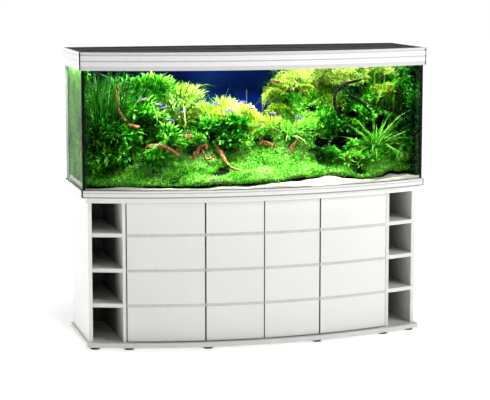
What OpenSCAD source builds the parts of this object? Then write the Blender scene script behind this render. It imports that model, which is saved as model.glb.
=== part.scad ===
// Bow-front aquarium on a cabinet with four push-to-open doors, a lift-off hood and four top flaps.
// Millimetres, +Z up, -Y is the bowed front. The origin is under the middle of the object, on the floor.

/* [Overall] */
// Width over the hood
hood_w = 1800; // [1780:10:1820]
// Depth from the middle of the bowed front to the back
hood_d = 690; // [685:5:700]
// How far the hood's front bows out past its corners
hood_bow = 179; // [175:1:183]
// Height from the floor to the top of the hood
total_h = 1480; // [1470:5:1500]

/* [Cabinet] */
// Width of the plinth and the top board
board_w = 1753; // [1750:1:1756]
// How far the plinth and the top board bow out
board_bow = 164; // [162:1:166]
// How far the top board stands behind the front of the hood
board_setback = 23; // [20:1:26]
// Height of the feet
foot_h = 14; // [12:1:18]
// Diameter of the feet
foot_d = 50; // [40:1:55]
// Thickness of the plinth board
plinth_t = 22; // [20:1:24]
// Height of the top board's underside above the floor
carcass_top = 740; // [735:1:745]
// Thickness of the top board
top_t = 24; // [22:1:26]
// Width over the two side panels
carcass_w = 1724; // [1720:1:1728]
// Thickness of the side panels and the shelves
panel_t = 19; // [18:1:20]
// Thickness of the dividers and the centre partition
divider_t = 16; // [14:1:16]
// Distance of a divider's inner face from the middle
divider_x = 683; // [681:1:685]

/* [Doors] */
// Thickness of a door
door_t = 18; // [16:1:19]
// How far the door faces stand behind the plinth's front
door_setback = 30; // [28:1:32]
// Gap above and below a door
door_gap = 3; // [3:0.5:4]
// Distance of the joint between outer and inner door from the middle
door_split_x = 298; // [290:1:306]
// Gap between outer and inner door
split_gap = 6; // [5:0.5:7]
// Height of an inlaid band
band_h = 15; // [12:1:18]
// Distance between the bands and between the shelves
row_pitch = 176.5; // [170:0.5:180]
// Diameter of the pivot pins
pivot_d = 6; // [5:0.5:6]

/* [Tank] */
// Thickness of the panes
glass_t = 12; // [10:1:12]
// Height of the base frame
frame_h = 39; // [36:1:42]
// Height of the panes' top edge below the hood's top
glass_drop = 40; // [38:1:44]
// Height of the hood's fascia
fascia_h = 89; // [85:1:92]

/* [Hidden] */

// Facets of the large front arcs and of small round parts
bow_fn = 720;
round_fn = 48;
// Small overshoot that keeps cutting tools clear of the faces they cut
over = 1;

function bow_radius(half_w, bow) = (half_w * half_w + bow * bow) / (2 * bow);
function arc_y(r, centre_y, x) = centre_y - sqrt(r * r - x * x);

// Plan of the hood and the tank
back_y = hood_d / 2;
front_y = -hood_d / 2;
hood_r = bow_radius(hood_w / 2, hood_bow);
tank_cy = front_y + hood_r;

// Plan of the cabinet
board_r = bow_radius(board_w / 2, board_bow);
board_cy = front_y + board_setback + board_r;
door_r = board_r - door_setback;
door_back_r = door_r - door_t;
back_panel_t = 8;
inner_back_y = back_y - back_panel_t;

// Heights
plinth_top = foot_h + plinth_t;
top_board_top = carcass_top + top_t;
door_bottom = plinth_top + door_gap;
door_top = carcass_top - door_gap;
row_mid_z = 398.5;
row_z = [row_mid_z - row_pitch, row_mid_z, row_mid_z + row_pitch];
frame_top = top_board_top + frame_h;
bottom_pane_z = top_board_top + 4;
wall_z = bottom_pane_z + glass_t + 2;
glass_top = total_h - glass_drop;
fascia_bottom = total_h - fascia_h;

// Doors: pivots stand inside each hinge edge, a little in front of mid thickness
pivot_depth = 7.5;
inner_pivot_x = 17;
outer_pivot_x = 664;
inner_edge_x = 2;
outer_edge_x = divider_x - 3;
pivot_r = door_r - pivot_depth;
pin_len_in_door = 30;
pin_len_in_bush = 7;
running_gap = 0.05;
bush_depth = 10;
bush_d = 12;
bush_flange_d = 16;
bush_flange_t = 2.5;
groove_depth = 4;
band_recess = 1.5;
tongue_reach = 3.8;

// Latches
latch_inner_x = 262;
latch_outer_x = 334;
latch_w = 24;
latch_h = 16;
latch_len = 60;
latch_y_gap = 13;
plunger_r = 4;
plunger_len = 52;
plunger_clear = 0.4;
plunger_z = carcass_top - latch_h / 2;

// Feet
foot_xs = [285, 670, 832];
foot_inset = 46;
stud_d = 8;
stud_len = 14;

// Shelf pins and screws
pin_d = 5;
pin_in_wall = 8;
pin_under_shelf = 6;
hole_slack = 0.1;
screw_d = 7;
screw_len = 60;
screw_hole_d = screw_d + 2 * hole_slack;
inner_shelf_front = -150;

// Tank plan: panes stand inside the hood
pane_x = hood_w / 2 - 10;
pane_r = hood_r - 8;
pane_in_r = pane_r - glass_t;
pane_back = back_y - 8;
seam_t = 2;
side_pane_front = arc_y(pane_in_r, tank_cy, pane_x) + seam_t;
back_pane_front = pane_back - glass_t;

// Hood plan
trim_w = 5;
fascia_lip = 7.5;
deck_gap = 12.5;
deck_t = 14;
rim_w = 12;
deck_z = total_h - deck_t;
flap_x0 = 10;
flap_x1 = 862;
flap_front = [-85, 15];
flap_rear = [85, 240];
flap_gap = 2;
flap_t = 5;
flap_z = total_h - 7;
ledge_w = 6;
rod_z = total_h - 4;
rod_off = 7;
rod_r = 2;
knuckle_r = 4;
knuckle_w = 40;
knuckle_xs = [100, 436, 772];
slot_half = 7;
slot_floor = total_h - 12;

// Filter, stands on the bottom pane in the rear right corner
filter_lo = [734, 190, wall_z];
filter_size = [120, 124, 590];
filter_wall = 4;

white = "whitesmoke";
frame_white = "gainsboro";

// Plate whose front edge is an arc about (0, centre_y)
module bow_slab(w, r, centre_y, back, z, h) {
    translate([0, 0, z])
        linear_extrude(h)
            intersection() {
                translate([-w / 2, -1000])
                    square([w, 1000 + back]);
                translate([0, centre_y])
                    circle(r = r, $fn = bow_fn);
            }
}

// Curved wall between two radii about (0, centre_y), from x0 to x1
module bow_wall(r_out, r_in, centre_y, x0, x1, z, h) {
    translate([0, 0, z])
        linear_extrude(h)
            intersection() {
                translate([x0, -1000])
                    square([x1 - x0, 1000]);
                difference() {
                    translate([0, centre_y])
                        circle(r = r_out, $fn = bow_fn);
                    translate([0, centre_y])
                        circle(r = r_in, $fn = bow_fn);
                }
            }
}

module mirror_x(side) {
    if (side < 0)
        mirror([1, 0, 0]) children();
    else
        children();
}

module both_sides() {
    children();
    mirror([1, 0, 0]) children();
}

module box(lo, hi) {
    translate(lo)
        cube(hi - lo);
}

module drill(pos, d, h) {
    translate(pos)
        cylinder(d = d, h = h, $fn = round_fn);
}

module at_feet() {
    both_sides()
        for (x = foot_xs) {
            translate([x, arc_y(board_r, board_cy, x) + foot_inset, 0]) children();
            translate([x, back_y - foot_inset, 0]) children();
        }
}

module at_pivots() {
    both_sides()
        for (x = [inner_pivot_x, outer_pivot_x])
            translate([x, arc_y(pivot_r, board_cy, x), 0]) children();
}

// ---------------------------------------------------------------- cabinet

module feet() {
    color("black")
        at_feet() {
            cylinder(d1 = foot_d - 4, d2 = foot_d, h = 3, $fn = round_fn);
            translate([0, 0, 3])
                cylinder(d = foot_d, h = foot_h - 3, $fn = round_fn);
            cylinder(d = stud_d, h = foot_h + stud_len, $fn = round_fn);
        }
}

module screw_sites(y_list) {
    both_sides()
        for (x = [divider_x + divider_t / 2, carcass_w / 2 - panel_t / 2], y = y_list)
            translate([x, y, 0]) children();
    for (y = y_list)
        translate([0, y, 0]) children();
}

screw_ys = [-60, 120, 290];

module plinth_board() {
    color(white)
        difference() {
            bow_slab(board_w, board_r, board_cy, back_y, foot_h, plinth_t);
            at_feet()
                drill([0, 0, foot_h - over], stud_d + 2 * hole_slack, stud_len + over + 1);
            at_pivots()
                drill([0, 0, plinth_top - bush_depth], bush_d, bush_depth + over);
            screw_sites(screw_ys)
                drill([0, 0, foot_h - over], screw_hole_d, plinth_t + 2 * over);
        }
}

module top_board() {
    color(white)
        difference() {
            bow_slab(board_w, board_r, board_cy, back_y, carcass_top, top_t);
            at_pivots()
                drill([0, 0, carcass_top - over], bush_d, bush_depth + over);
            screw_sites(screw_ys)
                drill([0, 0, carcass_top - over], screw_hole_d, top_t + 2 * over);
        }
}

module carcass_screws() {
    color("silver") {
        screw_sites(screw_ys)
            translate([0, 0, foot_h + 1])
                cylinder(d = screw_d, h = screw_len, $fn = round_fn);
        screw_sites(screw_ys)
            translate([0, 0, top_board_top - 1 - screw_len])
                cylinder(d = screw_d, h = screw_len, $fn = round_fn);
    }
}

// Upright board with screw holes in both ends
module upright(x0, x1, y0, y1) {
    difference() {
        box([x0, y0, plinth_top], [x1, y1, carcass_top]);
        screw_sites(screw_ys) {
            drill([0, 0, plinth_top - over], screw_hole_d, screw_len);
            drill([0, 0, carcass_top - screw_len + over], screw_hole_d, screw_len);
        }
    }
}

side_in_x = carcass_w / 2 - panel_t;
side_front_y = arc_y(door_r, board_cy, carcass_w / 2) - 2;
divider_front_y = arc_y(door_r, board_cy, divider_x + divider_t);
partition_front_y = arc_y(door_back_r, board_cy, 0) + 10;

bay_pin_ys = [-90, 280];
inner_pin_ys = [-100, 280];

module bay_pins(grow) {
    for (z = row_z, y = bay_pin_ys) {
        pin_hole(side_in_x, 1, y, z - panel_t / 2 - pin_d / 2, grow);
        pin_hole(divider_x + divider_t, -1, y, z - panel_t / 2 - pin_d / 2, grow);
    }
}

module inner_pins(grow) {
    for (y = inner_pin_ys) {
        pin_hole(divider_x, 1, y, row_mid_z - panel_t / 2 - pin_d / 2, grow);
        pin_hole(divider_t / 2, -1, y, row_mid_z - panel_t / 2 - pin_d / 2, grow);
    }
}

// Pin half in the wall and half under the shelf; grow widens it into a hole
module pin_hole(x, wall_dir, y, z, grow) {
    x0 = wall_dir > 0 ? x - pin_under_shelf : x - pin_in_wall;
    translate([x0 - grow, y, z])
        rotate([0, 90, 0])
            cylinder(d = pin_d + 2 * grow, h = pin_in_wall + pin_under_shelf + 2 * grow, $fn = round_fn);
}

module shelf_pins() {
    color("silver")
        both_sides() {
            bay_pins(0);
            inner_pins(0);
        }
}

module side_panel(side) {
    color(white)
        mirror_x(side)
            difference() {
                upright(side_in_x, carcass_w / 2, side_front_y, back_y);
                bay_pins(hole_slack);
            }
}

module divider(side) {
    color(white)
        mirror_x(side)
            difference() {
                upright(divider_x, divider_x + divider_t, divider_front_y, inner_back_y);
                bay_pins(hole_slack);
                inner_pins(hole_slack);
            }
}

module centre_partition() {
    color(white)
        difference() {
            upright(-divider_t / 2, divider_t / 2, partition_front_y, inner_back_y);
            both_sides()
                inner_pins(hole_slack);
        }
}

hose_hole_r = 30;
hose_hole_x = 340;
hose_hole_z = 640;

module back_panel() {
    color(white)
        difference() {
            box([-side_in_x, inner_back_y, plinth_top], [side_in_x, back_y, carcass_top]);
            both_sides()
                translate([hose_hole_x, inner_back_y - over, hose_hole_z])
                    rotate([-90, 0, 0])
                        cylinder(r = hose_hole_r, h = back_panel_t + 2 * over, $fn = round_fn);
        }
}

module bay_shelves(side) {
    color(white)
        mirror_x(side)
            for (z = row_z)
                intersection() {
                    bow_slab(board_w, door_r - 3, board_cy, inner_back_y, z - panel_t / 2, panel_t);
                    box([divider_x + divider_t, -500, z - panel_t], [side_in_x, inner_back_y, z + panel_t]);
                }
}

module inner_shelves() {
    color(white)
        both_sides()
            box([divider_t / 2, inner_shelf_front, row_mid_z - panel_t / 2],
                [divider_x, inner_back_y, row_mid_z + panel_t / 2]);
}

module pivot_bush() {
    difference() {
        union() {
            cylinder(d = bush_d, h = bush_depth, $fn = round_fn);
            translate([0, 0, bush_depth])
                cylinder(d = bush_flange_d, h = bush_flange_t, $fn = round_fn);
        }
        translate([0, 0, 1])
            cylinder(d = pivot_d + 2 * running_gap, h = bush_depth + bush_flange_t, $fn = round_fn);
    }
}

module pivot_bushes() {
    color("ivory")
        at_pivots() {
            translate([0, 0, plinth_top - bush_depth]) pivot_bush();
            translate([0, 0, carcass_top + bush_depth]) mirror([0, 0, 1]) pivot_bush();
        }
}

function latch_tip_y(x) = arc_y(door_back_r - plunger_r - plunger_clear, board_cy, x);
function latch_front_y(x) = latch_tip_y(x) + latch_y_gap;

module latch_housing(x) {
    y0 = latch_front_y(x);
    difference() {
        box([x - latch_w / 2, y0, carcass_top - latch_h], [x + latch_w / 2, y0 + latch_len, carcass_top]);
        translate([x, y0 - over, plunger_z])
            rotate([-90, 0, 0])
                cylinder(r = plunger_r + running_gap, h = plunger_len - 2 + over, $fn = round_fn);
    }
}

module latch_housings() {
    color("dimgray")
        both_sides() {
            latch_housing(latch_inner_x);
            latch_housing(latch_outer_x);
        }
}

module latch_plunger(side, x) {
    color("gray")
        mirror_x(side)
            translate([x, latch_tip_y(x), plunger_z]) {
                sphere(r = plunger_r, $fn = round_fn);
                rotate([-90, 0, 0])
                    cylinder(r = plunger_r, h = plunger_len, $fn = round_fn);
            }
}

// ---------------------------------------------------------------- doors

outer_free_x = door_split_x + split_gap / 2;
inner_free_x = door_split_x - split_gap / 2;

// Holes and pins of one door, at its pivot
module door_pins(x, grow) {
    translate([x, arc_y(pivot_r, board_cy, x), 0]) {
        translate([0, 0, door_bottom - door_gap - pin_len_in_bush])
            cylinder(d = pivot_d + grow, h = pin_len_in_bush + door_gap + pin_len_in_door, $fn = round_fn);
        translate([0, 0, door_top - pin_len_in_door])
            cylinder(d = pivot_d + grow, h = pin_len_in_bush + door_gap + pin_len_in_door, $fn = round_fn);
    }
}

module door(side, x0, x1, pivot_x) {
    color(white)
        mirror_x(side)
            difference() {
                bow_wall(door_r, door_back_r, board_cy, x0, x1, door_bottom, door_top - door_bottom);
                for (z = row_z)
                    bow_wall(door_r + over, door_r - groove_depth, board_cy, x0 - over, x1 + over,
                        z - band_h / 2, band_h);
                door_pins(pivot_x, 0);
            }
}

module bands(side, x0, x1) {
    color("lightgray")
        mirror_x(side)
            for (z = row_z)
                bow_wall(door_r - band_recess, door_r - groove_depth, board_cy, x0, x1,
                    z - band_h / 2, band_h);
}

module pivot_pins(side, x) {
    color("silver")
        mirror_x(side)
            door_pins(x, 0);
}

// ---------------------------------------------------------------- tank

module front_pane() {
    color("lightcyan", 0.3)
        bow_wall(pane_r, pane_in_r, tank_cy, -pane_x, pane_x, wall_z, glass_top - wall_z);
}

module side_pane(side) {
    color("lightcyan", 0.3)
        mirror_x(side)
            box([pane_x - glass_t, side_pane_front, wall_z], [pane_x, back_pane_front - seam_t, glass_top]);
}

module back_pane() {
    color("lightcyan", 0.3)
        box([-pane_x, back_pane_front, wall_z], [pane_x, pane_back, glass_top]);
}

module bottom_pane() {
    color("lightcyan", 0.3)
        bow_slab(2 * pane_x, pane_r, tank_cy, pane_back, bottom_pane_z, glass_t);
}

bead = 3;
seal_h = 3;

module silicone_seams() {
    seam_z = wall_z - seam_t;
    seam_h = glass_top - seam_z;
    color("black") {
        both_sides() {
            intersection() {
                bow_slab(2 * pane_x, pane_in_r, tank_cy, 0, seam_z, seam_h);
                union() {
                    box([pane_x - glass_t, -400, seam_z], [pane_x, side_pane_front, glass_top]);
                    translate([0, 0, seam_z])
                        linear_extrude(seam_h)
                            polygon([
                                [pane_x - glass_t, -400],
                                [pane_x - glass_t, side_pane_front + bead],
                                [pane_x - glass_t - bead, side_pane_front - bead],
                                [pane_x - glass_t - bead, -400]
                            ]);
                }
            }
            box([pane_x - glass_t, back_pane_front - seam_t, seam_z], [pane_x, back_pane_front, glass_top]);
        }
        difference() {
            bow_slab(2 * pane_x, pane_r, tank_cy, pane_back, seam_z, seam_t);
            bow_slab(2 * (pane_x - glass_t), pane_in_r, tank_cy, back_pane_front,
                seam_z - over, seam_t + 2 * over);
        }
        bow_wall(pane_r + 3, pane_r + 0.3, tank_cy, 4 - pane_x, pane_x - 4, frame_top, seal_h);
    }
}

brace_z = glass_top - 22;
brace_t = 10;
brace_w = 50;
brace_gap = 1;
cross_brace_x = 300;
cross_brace_w = 90;

module glass_braces() {
    x1 = pane_x - glass_t - bead - 2;
    r1 = pane_in_r - brace_gap;
    color("lightcyan", 0.3) {
        bow_wall(r1, r1 - brace_w, tank_cy, -x1, x1, brace_z, brace_t);
        box([-x1, back_pane_front - brace_gap - brace_w, brace_z],
            [x1, back_pane_front - brace_gap, brace_z + brace_t]);
        both_sides()
            intersection() {
                box([cross_brace_x, -400, brace_z + brace_t + brace_gap],
                    [cross_brace_x + cross_brace_w, back_pane_front - brace_gap,
                        brace_z + 2 * brace_t + brace_gap]);
                bow_slab(hood_w, r1, tank_cy, back_y, brace_z, 3 * brace_t);
            }
    }
}

// Outline of the base frame's wall as [depth behind the outer face, height]
frame_wall = 4.5;
frame_out = 5;
function frame_profile() = [
    [0, top_board_top],
    [0, top_board_top + 3],
    [2, top_board_top + 4],
    [2, top_board_top + 7],
    [0, top_board_top + 8],
    [0, top_board_top + 25],
    [2, top_board_top + 26],
    [2, top_board_top + 29],
    [0, top_board_top + 30],
    [0, frame_top - 2],
    [1.5, frame_top],
    [frame_wall, frame_top],
    [frame_wall, bottom_pane_z],
    [24, bottom_pane_z],
    [24, top_board_top]
];

// Wall of the given profile revolved about the tank's arc centre
module bow_profile(points, r, half_w) {
    intersection() {
        translate([0, tank_cy, 0])
            rotate_extrude($fn = bow_fn)
                polygon([for (p = points) [r - p[0], p[1]]]);
        box([-half_w, -1000, 0], [half_w, 0, total_h + over]);
    }
}

// The same profile extruded along the right side, from y0 to y1
module side_profile(points, x_out, y0, y1) {
    translate([0, y1, 0])
        rotate([90, 0, 0])
            linear_extrude(y1 - y0)
                polygon([for (p = points) [x_out - p[0], p[1]]]);
}

frame_x = hood_w / 2 - frame_out;
frame_r = hood_r - 3;
frame_end_x = frame_x - trim_w;
frame_corner_y = arc_y(frame_r - 24, tank_cy, frame_end_x);

module base_frame_front() {
    color(frame_white)
        bow_profile(frame_profile(), frame_r, frame_end_x);
}

module base_frame_sides() {
    color(frame_white) {
        both_sides()
            side_profile(frame_profile(), frame_x, frame_corner_y + 1, back_y - 4);
        box([-frame_x + 24, pane_back + 1, top_board_top], [frame_x - 24, back_y - 4, frame_top]);
    }
}

module base_corner_trims() {
    color("black")
        both_sides()
            intersection() {
                bow_wall(frame_r, frame_r - frame_wall, tank_cy, frame_end_x + 0.2, frame_x,
                    top_board_top + 3, frame_h - 3);
                box([frame_end_x, -1000, 0], [frame_x, frame_corner_y, total_h]);
            }
}

module background_panel() {
    color("midnightblue")
        box([-pane_x + 14, pane_back + 1, frame_top + 2], [pane_x - 14, pane_back + 4, glass_top - 4]);
}

// ---------------------------------------------------------------- inside the tank

sand_gap = 8;
sand_front_z = 818;
sand_back_z = 880;

module sand_bed() {
    color("wheat")
        difference() {
            intersection() {
                bow_slab(2 * (pane_x - glass_t - bead - sand_gap / 2), pane_in_r - sand_gap, tank_cy,
                    back_pane_front - sand_gap, wall_z, 200);
                translate([-1000, 0, 0])
                    rotate([90, 0, 90])
                        linear_extrude(2000)
                            polygon([
                                [-400, wall_z],
                                [400, wall_z],
                                [400, sand_back_z],
                                [-100, sand_front_z + 6],
                                [-400, sand_front_z]
                            ]);
            }
            box([filter_lo[0] - 2, filter_lo[1] - 2, 0], [1000, 1000, total_h]);
        }
}

// Tapered branch from one point to another
module branch(a, b, r_a, r_b) {
    v = b - a;
    len = norm(v);
    pitch = acos(v[2] / len);
    turn = atan2(v[1], v[0]);
    translate(a)
        rotate([0, pitch, turn])
            cylinder(r1 = r_a, r2 = r_b, h = len, $fn = 24);
}

// Limbs of the driftwood as [lower end, upper end, lower radius, upper radius]
driftwood_limbs = [
    [[-640, -40, 900], [-680, -70, 1180], 16, 7],
    [[-220, -150, 885], [-20, -190, 960], 20, 9],
    [[420, -60, 905], [250, 20, 1250], 26, 10],
    [[560, 60, 920], [640, 40, 1240], 22, 8]
];

module driftwood() {
    color("saddlebrown")
        for (limb = driftwood_limbs)
            branch(limb[0], limb[1], limb[2], limb[3]);
}

// Clumps of plants, each a frustum, as [foot, lower radius, upper radius, height]
plant_clumps = [
    [[-740, 130, 880], 110, 90, 440],
    [[-480, 120, 880], 120, 100, 300],
    [[-200, 180, 884], 110, 70, 330],
    [[60, 190, 884], 110, 60, 300],
    [[310, 190, 884], 80, 60, 330],
    [[-420, -150, 836], 90, 50, 120],
    [[-120, -40, 852], 80, 50, 90],
    [[120, -80, 846], 90, 60, 120],
    [[480, 180, 884], 70, 50, 380],
    [[700, -10, 852], 110, 80, 300]
];

module planting() {
    color("forestgreen")
        for (clump = plant_clumps)
            translate(clump[0])
                cylinder(r1 = clump[1], r2 = clump[2], h = clump[3], $fn = 32);
}

// Intake slots near the top of the filter box
intake_rows = 8;
intake_low_z = 1230;
intake_h = 6;
intake_pitch = 16;
intake_margin = 20;

module filter_box() {
    hi = filter_lo + filter_size;
    color("black")
        difference() {
            box(filter_lo, hi);
            box(filter_lo + [filter_wall, filter_wall, filter_wall],
                [hi[0] - filter_wall, hi[1] - filter_wall, hi[2] + over]);
            for (i = [0:intake_rows - 1])
                box([filter_lo[0] + intake_margin, filter_lo[1] - over, intake_low_z + intake_pitch * i],
                    [hi[0] - intake_margin, filter_lo[1] + filter_wall + over,
                        intake_low_z + intake_h + intake_pitch * i]);
        }
}

sponge_gap = 7;
sponge_back = 70;
sponge_top = 1100;

module filter_sponge() {
    color("royalblue")
        box([filter_lo[0] + sponge_gap, filter_lo[1] + sponge_gap, wall_z + filter_wall],
            [filter_lo[0] + filter_size[0] - sponge_gap, filter_lo[1] + sponge_back, sponge_top]);
}

// Pump on the sponge, with the riser pipe of its outlet
pump_x = filter_lo[0] + 48;
pump_y = filter_lo[1] + 42;
pump_z = sponge_top + 1;
pump_r = 32;
pump_h = 80;
riser_r = 9;
riser_h = 150;

module filter_pump() {
    color("darkslategray") {
        translate([pump_x, pump_y, pump_z])
            cylinder(r = pump_r, h = pump_h, $fn = round_fn);
        translate([pump_x, pump_y, pump_z + pump_h])
            cylinder(r = riser_r, h = riser_h, $fn = round_fn);
    }
}

heater_x = filter_lo[0] + 60;
heater_y = filter_lo[1] + 97;
heater_lift = 10;
heater_r = 12;
heater_len = 300;

module heater() {
    color("lightgray")
        translate([heater_x, heater_y, wall_z + filter_wall + heater_lift])
            cylinder(r = heater_r, h = heater_len, $fn = round_fn);
}

// ---------------------------------------------------------------- hood

// Outline of the fascia as [depth behind the outer face, height]
function fascia_profile() = [
    [0, total_h],
    [5, total_h - 16],
    [1, total_h - 17],
    [1, total_h - 41],
    [4, total_h - 42],
    [4, total_h - 45],
    [1, total_h - 46],
    [1, total_h - 69],
    [5, fascia_bottom],
    [fascia_lip, fascia_bottom],
    [fascia_lip, total_h - 36],
    [deck_gap - 0.5, total_h - 34],
    [deck_gap - 0.5, total_h]
];

hood_end_x = hood_w / 2 - trim_w;
hood_trim_y = arc_y(hood_r - deck_gap, tank_cy, hood_end_x);

module hood_front_fascia() {
    color(frame_white)
        bow_profile(fascia_profile(), hood_r, hood_end_x);
}

module hood_side_fascias() {
    color(frame_white) {
        both_sides()
            side_profile(fascia_profile(), hood_w / 2, hood_trim_y + 1, back_y);
        box([-hood_w / 2 + deck_gap, back_y - 3, fascia_bottom + 20],
            [hood_w / 2 - deck_gap, back_y, total_h]);
    }
}

module hood_corner_trims() {
    color("black")
        both_sides()
            intersection() {
                bow_wall(hood_r - 0.5, hood_r - fascia_lip, tank_cy, hood_end_x + 0.2, hood_w / 2,
                    fascia_bottom, fascia_h);
                box([hood_end_x, -1000, 0], [hood_w / 2, hood_trim_y, total_h]);
            }
}

module flap_opening(y_range, grow, z0, z1) {
    both_sides()
        box([flap_x0 - grow, y_range[0] - grow, z0], [flap_x1 + grow, y_range[1] + grow, z1]);
}

module rod_bores(y, r) {
    translate([-flap_x1 - 10, y, rod_z])
        rotate([0, 90, 0])
            cylinder(r = r, h = 2 * (flap_x1 + 10), $fn = round_fn);
}

front_rod_y = flap_front[1] + rod_off;
rear_rod_y = flap_rear[0] - rod_off;

module hood_deck() {
    deck_w = hood_w - 2 * deck_gap;
    deck_r = hood_r - deck_gap;
    deck_back = back_y - 3.5;
    color("black")
        difference() {
            union() {
                bow_slab(deck_w, deck_r, tank_cy, deck_back, deck_z, deck_t);
                difference() {
                    bow_slab(deck_w, deck_r, tank_cy, deck_back, glass_top + 0.3, deck_z - glass_top);
                    bow_slab(deck_w - 2 * rim_w, deck_r - rim_w, tank_cy, deck_back - 24,
                        glass_top - over, deck_z - glass_top + over);
                }
            }
            flap_opening(flap_front, flap_gap, flap_z - 0.3, total_h + over);
            flap_opening(flap_rear, flap_gap, flap_z - 0.3, total_h + over);
            flap_opening(flap_front, -ledge_w, deck_z - over, total_h + over);
            flap_opening(flap_rear, -ledge_w, deck_z - over, total_h + over);
            both_sides()
                for (x = knuckle_xs, y = [front_rod_y, rear_rod_y])
                    box([x - knuckle_w / 2 - 1, y - slot_half, slot_floor],
                        [x + knuckle_w / 2 + 1, y + slot_half, total_h + over]);
            rod_bores(front_rod_y, rod_r + running_gap);
            rod_bores(rear_rod_y, rod_r + running_gap);
        }
}

module flap_hinge_rods() {
    color("silver") {
        rod_bores(front_rod_y, rod_r);
        rod_bores(rear_rod_y, rod_r);
    }
}

// Flap on the right; row is +1 for the rear row and -1 for the front row
module flap(side, row) {
    y_range = row > 0 ? flap_rear : flap_front;
    rod_y = row > 0 ? rear_rod_y : front_rod_y;
    lo = min(y_range[row > 0 ? 0 : 1], rod_y);
    hi = max(y_range[row > 0 ? 0 : 1], rod_y);
    color("dimgray")
        mirror_x(side)
            difference() {
                union() {
                    box([flap_x0, y_range[0], flap_z], [flap_x1, y_range[1], flap_z + flap_t]);
                    for (x = knuckle_xs) {
                        translate([x - knuckle_w / 2, rod_y, rod_z])
                            rotate([0, 90, 0])
                                cylinder(r = knuckle_r, h = knuckle_w, $fn = round_fn);
                        box([x - knuckle_w / 2, lo, flap_z], [x + knuckle_w / 2, hi, flap_z + flap_t]);
                    }
                }
                rod_bores(rod_y, rod_r + running_gap);
            }
}

light_ys = [-125, 50];
light_len = 1400;
light_w = 44;
light_h = 16;

module light_bars() {
    color("silver")
        for (y = light_ys)
            box([-light_len / 2, y - light_w / 2, deck_z - light_h],
                [light_len / 2, y + light_w / 2, deck_z]);
}

feet();
plinth_board();
top_board();
side_panel(-1);  // side_panel_left
side_panel(1);  // side_panel_right
divider(-1);  // divider_left
divider(1);  // divider_right
centre_partition();
back_panel();
bay_shelves(-1);  // bay_shelves_left
bay_shelves(1);  // bay_shelves_right
inner_shelves();
shelf_pins();
carcass_screws();
pivot_bushes();
latch_housings();
latch_plunger(-1, latch_outer_x);  // latch_plunger_outer_left
latch_plunger(-1, latch_inner_x);  // latch_plunger_inner_left
latch_plunger(1, latch_inner_x);  // latch_plunger_inner_right
latch_plunger(1, latch_outer_x);  // latch_plunger_outer_right
door(-1, outer_free_x, outer_edge_x, outer_pivot_x);  // door_outer_left
door(-1, inner_edge_x, inner_free_x, inner_pivot_x);  // door_inner_left
door(1, inner_edge_x, inner_free_x, inner_pivot_x);  // door_inner_right
door(1, outer_free_x, outer_edge_x, outer_pivot_x);  // door_outer_right
bands(-1, outer_free_x - tongue_reach, outer_edge_x);  // bands_outer_left
bands(-1, inner_edge_x, inner_free_x);  // bands_inner_left
bands(1, inner_edge_x, inner_free_x);  // bands_inner_right
bands(1, outer_free_x - tongue_reach, outer_edge_x);  // bands_outer_right
pivot_pins(-1, outer_pivot_x);  // pivot_pins_outer_left
pivot_pins(-1, inner_pivot_x);  // pivot_pins_inner_left
pivot_pins(1, inner_pivot_x);  // pivot_pins_inner_right
pivot_pins(1, outer_pivot_x);  // pivot_pins_outer_right
front_pane();
side_pane(-1);  // side_pane_left
side_pane(1);  // side_pane_right
back_pane();
bottom_pane();
silicone_seams();
glass_braces();
base_frame_front();
base_frame_sides();
base_corner_trims();
background_panel();
sand_bed();
driftwood();
planting();
filter_box();
filter_sponge();
filter_pump();
heater();
hood_front_fascia();
hood_side_fascias();
hood_corner_trims();
hood_deck();
light_bars();
flap_hinge_rods();
flap(-1, -1);  // flap_front_left
flap(1, -1);  // flap_front_right
flap(-1, 1);  // flap_rear_left
flap(1, 1);  // flap_rear_right
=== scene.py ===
import math

import bpy
import numpy as np
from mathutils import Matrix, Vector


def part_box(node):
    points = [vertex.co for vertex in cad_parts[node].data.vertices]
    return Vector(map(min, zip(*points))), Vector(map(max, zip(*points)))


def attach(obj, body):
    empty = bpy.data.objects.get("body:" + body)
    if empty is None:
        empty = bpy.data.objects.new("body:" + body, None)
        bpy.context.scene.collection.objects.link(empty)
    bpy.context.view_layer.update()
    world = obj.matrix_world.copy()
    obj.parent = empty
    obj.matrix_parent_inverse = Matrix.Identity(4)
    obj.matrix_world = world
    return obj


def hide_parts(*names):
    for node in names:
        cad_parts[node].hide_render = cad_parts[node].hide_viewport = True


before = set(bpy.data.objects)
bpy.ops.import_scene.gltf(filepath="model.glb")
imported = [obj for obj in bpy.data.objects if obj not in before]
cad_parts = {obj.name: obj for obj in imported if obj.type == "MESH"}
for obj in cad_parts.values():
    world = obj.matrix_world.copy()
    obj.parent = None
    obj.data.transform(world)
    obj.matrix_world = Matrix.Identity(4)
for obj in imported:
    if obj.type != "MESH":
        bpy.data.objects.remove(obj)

# Looks of the bow-front aquarium: camera, light, a finish for each CAD node, and the planted
# landscape behind the glass, which is grown here leaf by leaf.

rng = np.random.default_rng(7)
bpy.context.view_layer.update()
TANK = "cabinet_and_tank"

# Inside of the tank, in metres
PANE_R = 2.332
GLASS_T = 0.012
pane_lo, pane_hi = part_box("front_pane")
BOW_CY = pane_lo.y + GLASS_T + PANE_R
INNER_X = pane_hi.x - GLASS_T
BACK_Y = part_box("back_pane")[0].y
FLOOR_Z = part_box("sand_bed")[0].z
WATER_OVER_HOOD_EDGE = 0.006
LEAF_GAP = 0.004
SIDE_GAP = 0.002
WATER_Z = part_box("hood_front_fascia")[0].z + WATER_OVER_HOOD_EDGE


def srgb(r, g, b):
    """A linear colour from 8-bit screen values."""
    return tuple(((c / 255) ** 2.2) for c in (r, g, b)) + (1.0,)


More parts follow.
